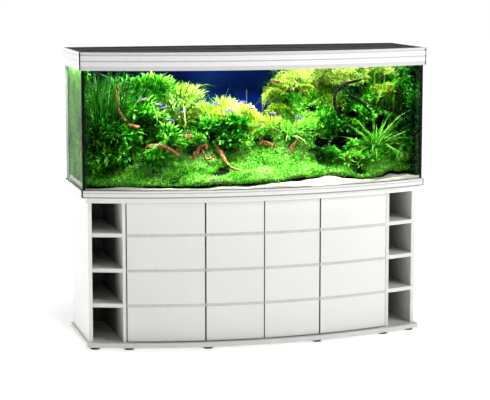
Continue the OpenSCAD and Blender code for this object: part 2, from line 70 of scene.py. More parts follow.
def glass_y(x):
    """Depth of the front pane's inner face at x."""
    return BOW_CY - np.sqrt(PANE_R**2 - np.asarray(x) ** 2)


def into_scene(name, data):
    """A new object of the scene."""
    obj = bpy.data.objects.new(name, data)
    bpy.context.scene.collection.objects.link(obj)
    return obj


def set_inputs(node, values):
    for socket, value in values.items():
        node.inputs[socket].default_value = value


# --- Camera, floor and light ---------------------------------------------------------------

SENSOR_WIDTH = 36  # mm
FOCAL_LENGTH = 120.6  # mm
FRAMING_SHIFT = -0.05
CAMERA_PLACE = (-2.243, -8.056, 1.915)
CAMERA_DIP = 0.1294  # radians below level
CAMERA_TURN = -0.2692  # radians


def make_camera():
    data = bpy.data.cameras.new("camera")
    data.sensor_width = SENSOR_WIDTH
    data.lens = FOCAL_LENGTH
    data.shift_y = FRAMING_SHIFT
    cam = into_scene("camera", data)
    cam.location = CAMERA_PLACE
    cam.rotation_euler = (math.pi / 2 - CAMERA_DIP, 0, CAMERA_TURN)
    bpy.context.scene.camera = cam


def area_light(name, place, aim, size, power, colour=(1, 1, 1), cone=180):
    data = bpy.data.lights.new(name, "AREA")
    data.shape = "RECTANGLE"
    data.size, data.size_y = size
    data.energy = power
    data.color = colour
    data.spread = math.radians(cone)
    light = into_scene(name, data)
    light.location = place
    away = light.location - type(light.location)(aim)
    light.rotation_euler = away.to_track_quat("Z", "Y").to_euler()
    light.visible_camera = False


# Strength of the white surround as a light; the camera sees it at full strength
AMBIENT = 0.09

# Softboxes: name, place, point they aim at, width and height, and power in watts
SOFTBOXES = [
    ("key", (3.2, -4.2, 3.4), (0.2, -0.2, 0.6), (2.4, 2.4), 172),
    ("top", (0, -0.4, 4.2), (0, -0.4, 0), (6, 5), 24),
    ("side_left", (-3.8, 1.4, 1.6), (-0.9, 0.1, 0.8), (1.6, 2.5), 55),
    ("side_right", (3.8, 1.4, 1.6), (0.9, 0.1, 0.8), (1.6, 2.5), 8),
    ("back", (0, 5.0, 5.0), (0, 0.2, 0.9), (8, 2.5), 110),
]

# Lamps under the hood: name, x and y, point they aim at, length and width, power, and cone in degrees
LAMP_WHITE = (1, 0.99, 0.94)
LAMP_DROP = 0.006
TANK_LAMPS = [
    ("tank_lamp", (0, 0.02), (0, 0.02, 0), (1.74, 0.36), 18, 90),
    ("tank_front_lamp", (0, -0.2), (0, 0.0, 0.9), (1.3, 0.05), 10, 100),
    ("pane_lamp_left", (-0.872, 0.08), (-0.872, 0.08, 0), (0.03, 0.44), 2.7, 60),
    ("pane_lamp_right", (0.872, 0.08), (0.872, 0.08, 0), (0.03, 0.44), 2.7, 60),
]

FLOOR_HALF = 30
# The floor glows more and more between these two distances, so that it fades into the surround
FLOOR_NEAR = 1.1
FLOOR_FAR = 2.4
FLOOR_NEAR_GLOW = 0.42


def make_surround():
    world = bpy.data.worlds.new("studio")
    bpy.context.scene.world = world
    world.use_nodes = True
    nodes, links = world.node_tree.nodes, world.node_tree.links
    backdrop = nodes["Background"]
    backdrop.inputs["Color"].default_value = (1, 1, 1, 1)
    ambient = nodes.new("ShaderNodeBackground")
    set_inputs(ambient, {"Color": (1, 1, 1, 1), "Strength": AMBIENT})
    path = nodes.new("ShaderNodeLightPath")
    mix = nodes.new("ShaderNodeMixShader")
    links.new(path.outputs["Is Camera Ray"], mix.inputs["Fac"])
    links.new(ambient.outputs["Background"], mix.inputs[1])
    links.new(backdrop.outputs["Background"], mix.inputs[2])
    links.new(mix.outputs["Shader"], nodes["World Output"].inputs["Surface"])
    bpy.context.scene.view_settings.view_transform = "Standard"


def make_floor():
    half = FLOOR_HALF
    verts = [(-half, -half, 0), (half, -half, 0), (half, half, 0), (-half, half, 0)]
    mesh = bpy.data.meshes.new("floor")
    mesh.from_pydata(verts, [], [(0, 1, 2, 3)])
    floor = into_scene("floor", mesh)
    mat, nodes, links, shader = new_material("floor")
    set_inputs(shader, {"Base Color": (0.93, 0.93, 0.93, 1), "Roughness": 0.9,
                        "Emission Color": (1, 1, 1, 1)})
    middle = nodes.new("ShaderNodeTexCoord")
    reach = nodes.new("ShaderNodeVectorMath")
    reach.operation = "LENGTH"
    links.new(middle.outputs["Object"], reach.inputs[0])
    glow = map_range(nodes, links, reach.outputs["Value"], FLOOR_NEAR, FLOOR_FAR, FLOOR_NEAR_GLOW, 1.0)
    links.new(glow, shader.inputs["Emission Strength"])
    mesh.materials.append(mat)


def make_stage():
    """White studio: even white surround, softboxes, the tank's own lamps, and a pale floor."""
    make_surround()
    for name, place, aim, size, power in SOFTBOXES:
        area_light(name, place, aim, size, power)
    lamp_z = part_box("glass_braces")[0].z - LAMP_DROP
    for name, (x, y), aim, size, power, cone in TANK_LAMPS:
        area_light(name, (x, y, lamp_z), aim, size, power, LAMP_WHITE, cone)
    make_floor()


# --- Materials -----------------------------------------------------------------------------

UV_LAYER = "OFBake"


def new_material(name):
    mat = bpy.data.materials.new(name)
    mat.use_nodes = True
    nodes = mat.node_tree.nodes
    return mat, nodes, mat.node_tree.links, nodes["Principled BSDF"]


def coordinates(nodes, links, stretch=(1, 1, 1)):
    """Object coordinates in metres, stretched along the axes."""
    place = nodes.new("ShaderNodeTexCoord")
    scale = nodes.new("ShaderNodeMapping")
    scale.inputs["Scale"].default_value = stretch
    links.new(place.outputs["Object"], scale.inputs["Vector"])
    return scale.outputs["Vector"]


def noise(nodes, links, vector, scale, detail=4.0, rough=0.55):
    node = nodes.new("ShaderNodeTexNoise")
    set_inputs(node, {"Scale": scale, "Detail": detail, "Roughness": rough})
    links.new(vector, node.inputs["Vector"])
    return node.outputs["Fac"]


def ramp(nodes, links, factor, stops):
    """Colour ramp; stops are (position, colour)."""
    node = nodes.new("ShaderNodeValToRGB")
    while len(node.color_ramp.elements) < len(stops):
        node.color_ramp.elements.new(0.5)
    for element, (position, colour) in zip(node.color_ramp.elements, stops):
        element.position = position
        element.color = colour
    links.new(factor, node.inputs["Fac"])
    return node.outputs["Color"]


def map_range(nodes, links, value, start, end, low=0.0, high=1.0):
    """Maps a value that runs from start to end onto low to high, held at both ends."""
    node = nodes.new("ShaderNodeMapRange")
    set_inputs(node, {"From Min": start, "From Max": end, "To Min": low, "To Max": high})
    links.new(value, node.inputs["Value"])
    return node.outputs["Result"]


def position(nodes, links, axis, system="Object"):
    """One coordinate of the shaded point: metres, or from 0 to 1 across the node with Generated."""
    place = nodes.new("ShaderNodeTexCoord")
    split = nodes.new("ShaderNodeSeparateXYZ")
    links.new(place.outputs[system], split.inputs["Vector"])
    return split.outputs[axis]


def stored_uv(nodes, links):
    """The two numbers that store_uv kept, as sockets X and Y."""
    uv = nodes.new("ShaderNodeUVMap")
    uv.uv_map = UV_LAYER
    split = nodes.new("ShaderNodeSeparateXYZ")
    links.new(uv.outputs["UV"], split.inputs["Vector"])
    return split.outputs


def multiply(nodes, links, first, second):
    """Two colours multiplied."""
    node = nodes.new("ShaderNodeMix")
    node.data_type = "RGBA"
    node.blend_type = "MULTIPLY"
    node.inputs["Factor"].default_value = 1.0
    links.new(first, node.inputs[6])
    links.new(second, node.inputs[7])
    return node.outputs[2]


def tint_base(nodes, links, colour):
    """Multiplies the base colour that the finish already has by another colour."""
    base = nodes["Principled BSDF"].inputs["Base Color"]
    links.new(multiply(nodes, links, base.links[0].from_socket, colour), base)


def bump(nodes, links, shader, height, depth):
    node = nodes.new("ShaderNodeBump")
    set_inputs(node, {"Distance": depth, "Strength": 1.0})
    links.new(height, node.inputs["Height"])
    links.new(node.outputs["Normal"], shader.inputs["Normal"])


def finish_material(name, dark, light, gloss, grain, depth, patch=3.0, stretch=(1, 1, 1), metallic=0.0):
    """A hard finish: colour from dark to light in soft patches, uneven gloss, and a fine grain."""
    mat, nodes, links, shader = new_material(name)
    vector = coordinates(nodes, links, stretch)
    soft = noise(nodes, links, vector, patch, 3.0)
    links.new(ramp(nodes, links, soft, [(0.3, dark), (0.7, light)]), shader.inputs["Base Color"])
    smear = noise(nodes, links, vector, patch * 6, 5.0, 0.65)
    links.new(map_range(nodes, links, smear, 0.3, 0.7, *gloss), shader.inputs["Roughness"])
    bump(nodes, links, shader, noise(nodes, links, vector, grain, 2.0), depth)
    shader.inputs["Metallic"].default_value = metallic
    return mat


# Tint that leaves a colour as it is
UNTINTED = (1, 1, 1, 1)
# The white foil of the boards, and the same where it is a little dulled
WHITE_DULL = (0.80, 0.79, 0.77, 1)
WHITE_CLEAN = (0.83, 0.82, 0.80, 1)
# Painted shade along a shut door's edges, where its gaps fall dark, and how wide it is along the upright
# and the level edges
PAINTED_EDGE_SHADE = (0.12, 0.12, 0.115, 1)
DOOR_EDGE_UPRIGHT = 0.0018
DOOR_EDGE_LEVEL = 0.004
# How far into the open bays the painted shade on their boards takes to reach full strength
BAY_PAINTED_SHADE_DEPTH = 0.22
# Width of the soft change between a moulding's stripes, as a share of its height
STRIPE_BLEND = 0.01


def banded_moulding(name, node, bands):
    """White moulding with greyer stripes at the given heights below the node's top: (from, to, shade). On
    the fascia and the front rail these stripes are painted shade.
    """
    mat = finish_material(name, (0.815, 0.815, 0.805, 1), (0.84, 0.84, 0.83, 1), (0.27, 0.29), 500, 0.00002)
    nodes, links = mat.node_tree.nodes, mat.node_tree.links
    low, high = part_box(node)[0].z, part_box(node)[1].z
    level = map_range(nodes, links, position(nodes, links, "Z"), high, low)
    stops = [(0.0, UNTINTED)] if bands[0][0] > 0 else []
    for start, end, shade in bands:
        grey = (shade, shade, shade, 1)
        if start > 0:
            stops.append((start / (high - low) - STRIPE_BLEND, UNTINTED))
        stops += [(start / (high - low), grey), (end / (high - low), grey)]
        if end < high - low - 0.001:
            stops.append((end / (high - low) + STRIPE_BLEND, UNTINTED))
    tint_base(nodes, links, ramp(nodes, links, level, stops))
    return mat


def bay_painted_shade_material(name, painted_shade_end):
    """White foil with painted shade that darkens it towards the back of the open bays, down to the given
    shade.
    """
    mat = finish_material(name, WHITE_DULL, WHITE_CLEAN, (0.4, 0.48), 700, 0.0001)
    nodes, links = mat.node_tree.nodes, mat.node_tree.links
    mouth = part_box("divider_left")[0].y
    depth = map_range(nodes, links, position(nodes, links, "Y"), mouth, mouth + BAY_PAINTED_SHADE_DEPTH)
    tint_base(nodes, links, ramp(nodes, links, depth, [(0.0, UNTINTED), (1.0, painted_shade_end)]))
    return mat


def door_material(name):
    """White foil with painted shade along the edges of a shut door, where its gaps fall dark."""
    mat = finish_material(name + "_foil", WHITE_DULL, WHITE_CLEAN, (0.4, 0.48), 700, 0.0001)
    nodes, links = mat.node_tree.nodes, mat.node_tree.links
    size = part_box(name)[1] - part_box(name)[0]
    for axis, rim in (("X", DOOR_EDGE_UPRIGHT / size.x), ("Z", DOOR_EDGE_LEVEL / size.z)):
        stops = [(0.0, PAINTED_EDGE_SHADE), (rim, UNTINTED), (1 - rim, UNTINTED), (1.0, PAINTED_EDGE_SHADE)]
        across = position(nodes, links, axis, "Generated")
        tint_base(nodes, links, ramp(nodes, links, across, stops))
    return mat


def glass_material(name="tank_glass", tint=(0.97, 1.0, 0.985, 1), gain=0.38):
    """Clear pane: see-through head on, with a white sheen at grazing angles."""
    mat, nodes, links, shader = new_material(name)
    set_inputs(shader, {"Base Color": (0.06, 0.12, 0.09, 1), "Roughness": 0.04, "Specular IOR Level": 1.0})
    clear = nodes.new("ShaderNodeBsdfTransparent")
    clear.inputs["Color"].default_value = tint
    facing = nodes.new("ShaderNodeLayerWeight")
    facing.inputs["Blend"].default_value = 0.5
    curve = nodes.new("ShaderNodeMath")
    curve.operation = "POWER"
    curve.inputs[1].default_value = 4.0
    share = nodes.new("ShaderNodeMath")
    share.operation = "MULTIPLY"
    share.inputs[1].default_value = gain
    mix = nodes.new("ShaderNodeMixShader")
    links.new(facing.outputs["Facing"], curve.inputs[0])
    links.new(curve.outputs["Value"], share.inputs[0])
    links.new(share.outputs["Value"], mix.inputs["Fac"])
    links.new(clear.outputs["BSDF"], mix.inputs[1])
    links.new(shader.outputs["BSDF"], mix.inputs[2])
    links.new(mix.outputs["Shader"], nodes["Material Output"].inputs["Surface"])
    return mat


LIGHT_THROUGH_LEAF = 0.3


def leaf_material(name, shades, base_shade, gloss=0.42):
    """Leaf colour: U picks the leaf's shade, V darkens it towards its base with painted shade. Light shines
    through.
    """
    mat, nodes, links, shader = new_material(name)
    stored = stored_uv(nodes, links)
    stops = [(i / (len(shades) - 1), srgb(*colour)) for i, colour in enumerate(shades)]
    shade = ramp(nodes, links, stored["X"], stops)
    along = ramp(nodes, links, stored["Y"], [(0.0, base_shade), (0.55, UNTINTED)])
    colour = multiply(nodes, links, shade, along)
    links.new(colour, shader.inputs["Base Color"])
    set_inputs(shader, {"Roughness": gloss, "Specular IOR Level": 0.22})
    through = nodes.new("ShaderNodeBsdfTranslucent")
    links.new(colour, through.inputs["Color"])
    both = nodes.new("ShaderNodeMixShader")
    both.inputs["Fac"].default_value = LIGHT_THROUGH_LEAF
    links.new(shader.outputs["BSDF"], both.inputs[1])
    links.new(through.outputs["BSDF"], both.inputs[2])
    links.new(both.outputs["Shader"], nodes["Material Output"].inputs["Surface"])
    return mat


def grain_material(name, stops, scale, detail, gloss, depth, shine=0.5):
    """One noise gives both colour and relief, as on wood, soil and sand."""
    mat, nodes, links, shader = new_material(name)
    grain = noise(nodes, links, coordinates(nodes, links), scale, detail, 0.7)
    links.new(ramp(nodes, links, grain, stops), shader.inputs["Base Color"])
    set_inputs(shader, {"Roughness": gloss, "Specular IOR Level": shine})
    bump(nodes, links, shader, grain, depth)
    return mat


def wood_material(name, furrow, body, ridge, shine=0.3):
    """Bog wood: dark furrows and paler worn ridges."""
    return grain_material(name, [(0.35, furrow), (0.5, body), (0.7, ridge)], 60, 6.0, 0.6, 0.004, shine)


def soil_material():
    stops = [(0.35, srgb(2, 3, 1)), (0.7, srgb(9, 12, 5))]
    return grain_material("soil_and_rock", stops, 55, 6.0, 0.85, 0.006, 0.1)


def sand_material():
    stops = [(0.3, srgb(150, 138, 118)), (0.5, srgb(226, 218, 200)), (0.75, srgb(252, 250, 244))]
    return grain_material("pale_sand_grains", stops, 420, 3.0, 0.8, 0.0015)


# Depth behind which the corner seams are milky, and how soon they are fully so
MILKY_FROM = BACK_Y - 0.03
MILKY_WITHIN = BACK_Y - 0.02


def seam_material():
    """Black silicone in front, milky clear silicone along the back corners."""
    mat = finish_material("tank_silicone", srgb(8, 8, 8), srgb(16, 16, 16), (0.35, 0.5), 250, 0.0006)
    nodes, links = mat.node_tree.nodes, mat.node_tree.links
    base = nodes["Principled BSDF"].inputs["Base Color"]
    mix = nodes.new("ShaderNodeMix")
    mix.data_type = "RGBA"
    depth = map_range(nodes, links, position(nodes, links, "Y"), MILKY_FROM, MILKY_WITHIN)
    links.new(depth, mix.inputs["Factor"])
    links.new(base.links[0].from_socket, mix.inputs[6])
    mix.inputs[7].default_value = (0.72, 0.76, 0.73, 1)
    links.new(mix.outputs[2], base)
    return mat


def backdrop_material():
    """Night-blue film, cloudy blue on the face towards the water and nearly black behind."""
    mat, nodes, links, shader = new_material("night_blue_film")
    vector = coordinates(nodes, links)
    cloud = noise(nodes, links, vector, 2.6, 2.0)
    stops = [(0.35, srgb(16, 36, 140)), (0.55, srgb(28, 60, 205)), (0.75, srgb(44, 80, 245))]
    links.new(ramp(nodes, links, cloud, stops), shader.inputs["Base Color"])
    front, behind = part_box("background_panel")
    depth = map_range(nodes, links, position(nodes, links, "Y"), front.y + 0.0002, behind.y)
    tint_base(nodes, links, ramp(nodes, links, depth, [(0.0, UNTINTED), (0.3, (0.08, 0.06, 0.045, 1))]))
    set_inputs(shader, {"Roughness": 0.6, "Specular IOR Level": 0.08})
    bump(nodes, links, shader, noise(nodes, links, vector, 300, 2.0), 0.0003)
    return mat


# Plain finishes by slot of the record: name, dark and light colour, gloss range, grain, and its depth
PLAIN_FINISHES = {
    "white_board": ("white_foil", WHITE_DULL, WHITE_CLEAN, (0.4, 0.48), 700, 0.0001),
    "black_plastic": ("black_moulding", srgb(10, 10, 11), srgb(20, 20, 21), (0.4, 0.55), 900, 0.0003),
    "flap_plastic": ("smoked_flap", srgb(30, 30, 32), srgb(42, 42, 44), (0.42, 0.52), 600, 0.0002),
    "plunger_grey": ("grey_plunger", srgb(120, 120, 120), srgb(140, 140, 140), (0.35, 0.45), 900, 0.0002),
    "nylon": ("nylon_bush", srgb(205, 203, 192), srgb(225, 223, 214), (0.4, 0.5), 900, 0.0002),
    "white_plastic": ("white_moulding", (0.87, 0.87, 0.86, 1), (0.90, 0.90, 0.89, 1),
                      (0.27, 0.29), 500, 0.00002),
    "leaf_green": ("leaf_plain", srgb(30, 80, 15), srgb(80, 150, 30), (0.4, 0.5), 90, 0.002),
}
# Grain drawn out along X, as on brushed metal
BRUSHED = (6, 60, 60)
PINS_BRUSHED = (60, 6, 6)


def cad_materials():
    """One finish for each slot of the record."""
    finishes = {slot: finish_material(*row) for slot, row in PLAIN_FINISHES.items()}
    finishes["band_grey"] = finish_material("silver_foil_band", srgb(196, 195, 190), srgb(212, 211, 207),
                                            (0.3, 0.42), 500, 0.0002, stretch=BRUSHED)
    finishes["steel"] = finish_material("plain_steel", srgb(150, 150, 152), srgb(190, 190, 192),
                                        (0.2, 0.35), 400, 0.0002, stretch=PINS_BRUSHED, metallic=1.0)
    finishes["light_metal"] = finish_material("lamp_profile", srgb(170, 172, 175), srgb(205, 207, 210),
                                              (0.25, 0.4), 400, 0.0002, stretch=BRUSHED, metallic=1.0)
    finishes["foam"] = finish_material("filter_foam", srgb(18, 34, 60), srgb(40, 66, 104),
                                       (0.85, 0.95), 320, 0.004, patch=160)
    finishes["clear_glass"] = glass_material()
    finishes["silicone"] = seam_material()
    finishes["night_blue"] = backdrop_material()
    finishes["pale_sand"] = sand_material()
    finishes["bog_wood"] = wood_material("bog_wood_grain", srgb(34, 15, 8), srgb(128, 68, 38),
                                         srgb(212, 156, 108))
    return finishes


# Shine of the black parts, lower than the shader's usual 0.5
BLACK_SHINE = 0.14

# Stripes of the mouldings: from and to in metres below the top, and shade; those of the fascia and the
# front rail are painted shade in grooves, gaps and bands that face down
FASCIA_PAINTED_SHADE_STRIPES = [(0, 0.016, 0.74), (0.041, 0.046, 0.72), (0.069, 0.089, 0.70)]
RAIL_STRIPES = [(0, 0.004, 0.8), (0.009, 0.014, 0.72), (0.031, 0.037, 0.42)]
SIDE_RAIL_STRIPES = [(0, 0.0035, 0.15)]


def give(mat, *names):
    """Puts one material on the named CAD nodes."""
    for name in names:
        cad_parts[name].material_slots[0].material = mat


def dress_cad_nodes(finishes):
    """The finish of its slot for each CAD node, then the nodes that have a finish of their own."""
    for name in ("black_plastic", "flap_plastic", "silicone"):
        shader = finishes[name].node_tree.nodes["Principled BSDF"]
        shader.inputs["Specular IOR Level"].default_value = BLACK_SHINE
    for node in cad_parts.values():
        for holder in node.material_slots:
            holder.material = finishes[holder.material.name]
    # Painted shade: the fascia's grooves and down-facing bands, the front rail's grooves and the gap above
    # the top board
    give(banded_moulding("fascia_moulding_painted_shade", "hood_front_fascia", FASCIA_PAINTED_SHADE_STRIPES), "hood_front_fascia")
    give(banded_moulding("base_moulding_painted_shade", "base_frame_front", RAIL_STRIPES), "base_frame_front")
    give(banded_moulding("base_side_moulding", "base_frame_sides", SIDE_RAIL_STRIPES), "base_frame_sides")
    give(glass_material("side_glass", gain=0.2), "side_pane_left", "side_pane_right")
    # Painted shade in the open bays: dividers and back panel darken strongly deeper in, the shelves less
    inside = bay_painted_shade_material("white_foil_inside_painted_shade", (0.2, 0.2, 0.19, 1))
    give(inside, "divider_left", "divider_right", "back_panel")
    shelf = bay_painted_shade_material("white_foil_shelf_painted_shade", (0.6, 0.6, 0.59, 1))
    give(shelf, "bay_shelves_left", "bay_shelves_right")
    # Each door panel carries painted shade along its edges
    for name in ("door_outer_left", "door_inner_left", "door_inner_right", "door_outer_right"):
        give(door_material(name), name)
    plinth = finish_material("plinth_foil", (0.68, 0.675, 0.655, 1), (0.71, 0.705, 0.68, 1),
                             (0.4, 0.48), 700, 0.0001)
    give(plinth, "plinth_board")


# --- Mesh helpers --------------------------------------------------------------------------

def add_piece(name, mesh, mat, slot, *stands_for):
    """A finished mesh becomes a piece of the tank."""
    mesh.materials.append(mat)
    piece = into_scene(name, mesh)
    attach(piece, TANK)
    if stands_for:
        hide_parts(*stands_for)
    return piece


def mesh_from(name, verts, faces, smooth=True):
    """Mesh from an array of vertices and arrays of faces of one size each."""
    mesh = bpy.data.meshes.new(name)
    mesh.vertices.add(len(verts))
    mesh.vertices.foreach_set("co", np.asarray(verts, np.float32).ravel())
    sizes = np.concatenate([np.full(len(f), f.shape[1]) for f in faces])
    corners = np.concatenate([f.ravel() for f in faces])
    mesh.loops.add(len(corners))
    mesh.loops.foreach_set("vertex_index", corners.astype(np.int32))
    mesh.polygons.add(len(sizes))
    starts = np.concatenate([[0], np.cumsum(sizes)[:-1]])
    mesh.polygons.foreach_set("loop_start", starts.astype(np.int32))
    mesh.polygons.foreach_set("use_smooth", np.full(len(sizes), smooth))
    mesh.update(calc_edges=True)
    mesh.validate()
    return mesh


def store_uv(mesh, u, v):
    """Keeps two numbers for each vertex in the UV layer that the materials read."""
    layer = mesh.uv_layers.new(name=UV_LAYER)
    corner = np.empty(len(mesh.loops), np.int32)
    mesh.loops.foreach_get("vertex_index", corner)
    uv = np.stack([u[corner], v[corner]], -1)
    layer.data.foreach_set("uv", uv.astype(np.float32).ravel())


def grid_faces(rows, cols, wrap=False):
    """Quads of a grid of vertices, closed round the columns if wrap."""
    i, j = np.meshgrid(np.arange(rows - 1), np.arange(cols if wrap else cols - 1), indexing="ij")
    k = (j + 1) % cols
    return np.stack([i * cols + j, i * cols + k, (i + 1) * cols + k, (i + 1) * cols + j], -1).reshape(-1, 4)


def lumps(points, size, seed):
    """Smooth pseudo-noise between about -1 and 1, with lumps of the given size in metres."""
    dice = np.random.default_rng(seed)
    total = np.zeros(len(points))
    for _ in range(7):
        way = dice.normal(size=3)
        way *= 2 * math.pi / (size * np.linalg.norm(way) * dice.uniform(1.4, 3.4))
        total += np.sin(points @ way + dice.uniform(0, 2 * math.pi))
    return total / 3.2


# --- Leaves --------------------------------------------------------------------------------

# Dark hollows that no leaf grows in, tunnels that run back and to the right: x, z and half-widths
HOLLOW_SLANT = 0.28
HOLLOWS = np.array([
    (-0.70, 1.01, 0.055, 0.040), (-0.43, 0.985, 0.050, 0.025), (-0.19, 1.03, 0.035, 0.035),
    (0.50, 1.00, 0.050, 0.055), (0.68, 1.17, 0.045, 0.028), (0.77, 1.18, 0.040, 0.035),
    (-0.36, 0.965, 0.045, 0.030), (0.13, 1.01, 0.050, 0.022), (0.42, 0.93, 0.030, 0.020),
    (-0.78, 0.86, 0.060, 0.020), (0.60, 1.245, 0.045, 0.025), (0.72, 1.075, 0.040, 0.040),
    (0.56, 1.12, 0.035, 0.030), (0.33, 1.15, 0.040, 0.022), (-0.60, 1.24, 0.045, 0.028),
    (-0.78, 1.20, 0.035, 0.045),
    # The opening in the middle, through which the blue film shows
    (-0.13, 1.38, 0.32, 0.09), (-0.015, 1.33, 0.165, 0.12),
])

# Outline of a leaf: (share of its length, share of its width) up to the pointed tip
BLADE = [(0.0, 0.7), (0.35, 1.0), (0.75, 0.7)]
LANCE = [(0.0, 0.12), (0.3, 0.9), (0.65, 0.8)]
LEAFLET = [(0.0, 0.15), (0.5, 1.0)]

# Share of a leaf's colour left at its base, as painted shade
SHADOW = (0.13, 0.16, 0.13, 1)


class Foliage:
    """Collects leaves of one species and makes them one piece."""

    def __init__(self, outline, avoids_hollows=True, side_gap=0.014):
        self.outline = outline
        self.side_gap = side_gap
        self.avoids_hollows = avoids_hollows
        self.parts = []

    def add(self, base, azimuth, rise, length, width, droop, tint):
        """Leaves from their base points: direction, angle above level, size, bend and shade."""
        across = np.stack([base[:, 0] - HOLLOW_SLANT * base[:, 1], base[:, 2]], -1)
        reach = (across[:, None] - HOLLOWS[:, :2]) / HOLLOWS[:, 2:]
        free = (reach**2).sum(-1).min(1) > 1
        if self.avoids_hollows:
            base, azimuth, rise, length, width, droop, tint = (
                part[free] for part in (base, azimuth, rise, length, width, droop, tint))
        count = len(base)
        steps = len(self.outline)
        shares = np.array([s for s, _ in self.outline] + [1.0])
        widths = np.array([w for _, w in self.outline])
        flat = np.stack([np.cos(azimuth), np.sin(azimuth), np.zeros(count)], -1)
        side = np.stack([-np.sin(azimuth), np.cos(azimuth), np.zeros(count)], -1)
        roll = rng.normal(0, 0.35, count)[:, None]
        side = side * np.cos(roll) + np.array([0, 0, 1.0]) * np.sin(roll)
        spine = [base]
        for i in range(steps):
            middle = (shares[i] + shares[i + 1]) / 2
            angle = (rise - droop * middle)[:, None]
            step = (shares[i + 1] - shares[i]) * length[:, None]
            spine.append(spine[-1] + step * (flat * np.cos(angle) + np.array([0, 0, 1.0]) * np.sin(angle)))
        rings = []
        for i in range(steps):
            half = (widths[i] * width / 2)[:, None] * side
            rings += [spine[i] - half, spine[i] + half]
        verts = np.stack(rings + [spine[-1]], 1)
        along = np.concatenate([np.repeat(shares[:-1], 2), [1.0]])
        self.parts.append((verts, np.clip(tint, 0.01, 0.99), along))

    def piece(self, name, mat, *stands_for):
        steps = len(self.outline)
        per_leaf = 2 * steps + 1
        verts = np.concatenate([p[0] for p in self.parts])
        tint = np.concatenate([p[1] for p in self.parts])
        along = self.parts[0][2]
        first = (np.arange(len(verts)) * per_leaf)[:, None]
        quads = [first + np.array([2 * i, 2 * i + 1, 2 * i + 3, 2 * i + 2]) for i in range(steps - 1)]
        tips = first + np.array([2 * steps - 2, 2 * steps - 1, 2 * steps])
        points = keep_inside(verts.reshape(-1, 3), self.side_gap)
        mesh = mesh_from(name, points, [np.concatenate(quads), tips] if quads else [tips], smooth=False)
        store_uv(mesh, np.repeat(tint, per_leaf), np.tile(along, len(verts)))
        return add_piece(name, mesh, mat, "leaf_green", *stands_for)


def keep_inside(points, side_gap=SIDE_GAP):
    """Holds the points behind the front pane and between the other panes and the water."""
    points[:, 0] = np.clip(points[:, 0], -INNER_X + side_gap, INNER_X - side_gap)
    points[:, 1] = np.clip(points[:, 1], glass_y(points[:, 0]) + LEAF_GAP, BACK_Y - LEAF_GAP)
    points[:, 2] = np.clip(points[:, 2], FLOOR_Z + SIDE_GAP, WATER_Z - LEAF_GAP)
    return points


def bush(foliage, centre, radii, count, length, width, tint, gaps, lump, rise=0.5, droop=0.8):
    """Leaves all over a lumpy mound, thinned out where gaps is high."""
    centre, radii = np.array(centre), np.array(radii)
    way = rng.normal(size=(count, 3))
    way /= np.linalg.norm(way, axis=1)[:, None]
    way[:, 2] = np.where(way[:, 2] < -0.45, -way[:, 2], way[:, 2])
    swell = 1 + 0.22 * lumps(way * radii + centre, lump, 3)
    depth = rng.uniform(0.72, 1.0, count) * swell
    base = centre + way * radii * depth[:, None]
    wave = lumps(base, lump, 11)
    kept = wave > gaps - 1 + rng.normal(0, 0.15, count)
    base, way, wave, depth = base[kept], way[kept], wave[kept], depth[kept]
    n = len(base)
    azimuth = np.arctan2(way[:, 1], way[:, 0]) + rng.normal(0, 0.7, n)
    lift = np.arcsin(np.clip(way[:, 2], -1, 1)) * 0.6 + rise + rng.normal(0, 0.3, n)
    size = rng.uniform(0.7, 1.25, n)
    # Painted shade and light: leaves deeper in the mound and nearer its gaps darker, leaves that face up
    # lighter
    shade = tint + 0.16 * wave + 0.12 * way[:, 2] + 1.2 * (depth - 0.9) + rng.normal(0, 0.19, n)
    foliage.add(base, azimuth, lift, length * size, width * size, droop + rng.normal(0, 0.3, n), shade)


def tuft(foliage, centre, spread_r, count, length, width, lean, droop, tint):
    """Long blades fanning out of one spot, each leaning out by its own amount."""
    angle = rng.uniform(0, 2 * math.pi, count)
    reach = np.sqrt(rng.uniform(0, 1, count))
    base = np.array(centre) + np.stack(
        [spread_r * reach * np.cos(angle), spread_r * reach * np.sin(angle), np.zeros(count)], -1)
    azimuth = angle + rng.normal(0, 0.3, count)
    rise = math.pi / 2 - lean * rng.uniform(0.1, 1.2, count)
    foliage.add(base, azimuth, rise, length * rng.uniform(0.6, 1.1, count), np.full(count, width),
                droop * rng.uniform(0.3, 1.3, count), tint + rng.normal(0, 0.18, count))


def hedge(foliage, low, high, count, length, width, tint):
    """Leaves filling a box evenly, as where plants press against a pane."""
    base = rng.uniform(low, high, (count, 3))
    # Lumpy patches of tone, and painted light and shade: leaves lighter higher up and darker lower down
    shade = tint + 0.25 * lumps(base, 0.07, 17) + 0.3 * (base[:, 2] - 1.1) + rng.normal(0, 0.14, count)
    turn = rng.uniform(0, 2 * math.pi, count)
    rise = rng.normal(0.6, 0.5, count)
    lengths = length * rng.uniform(0.7, 1.2, count)
    droop = rng.normal(0.8, 0.3, count)
    foliage.add(base, turn, rise, lengths, np.full(count, width), droop, shade)


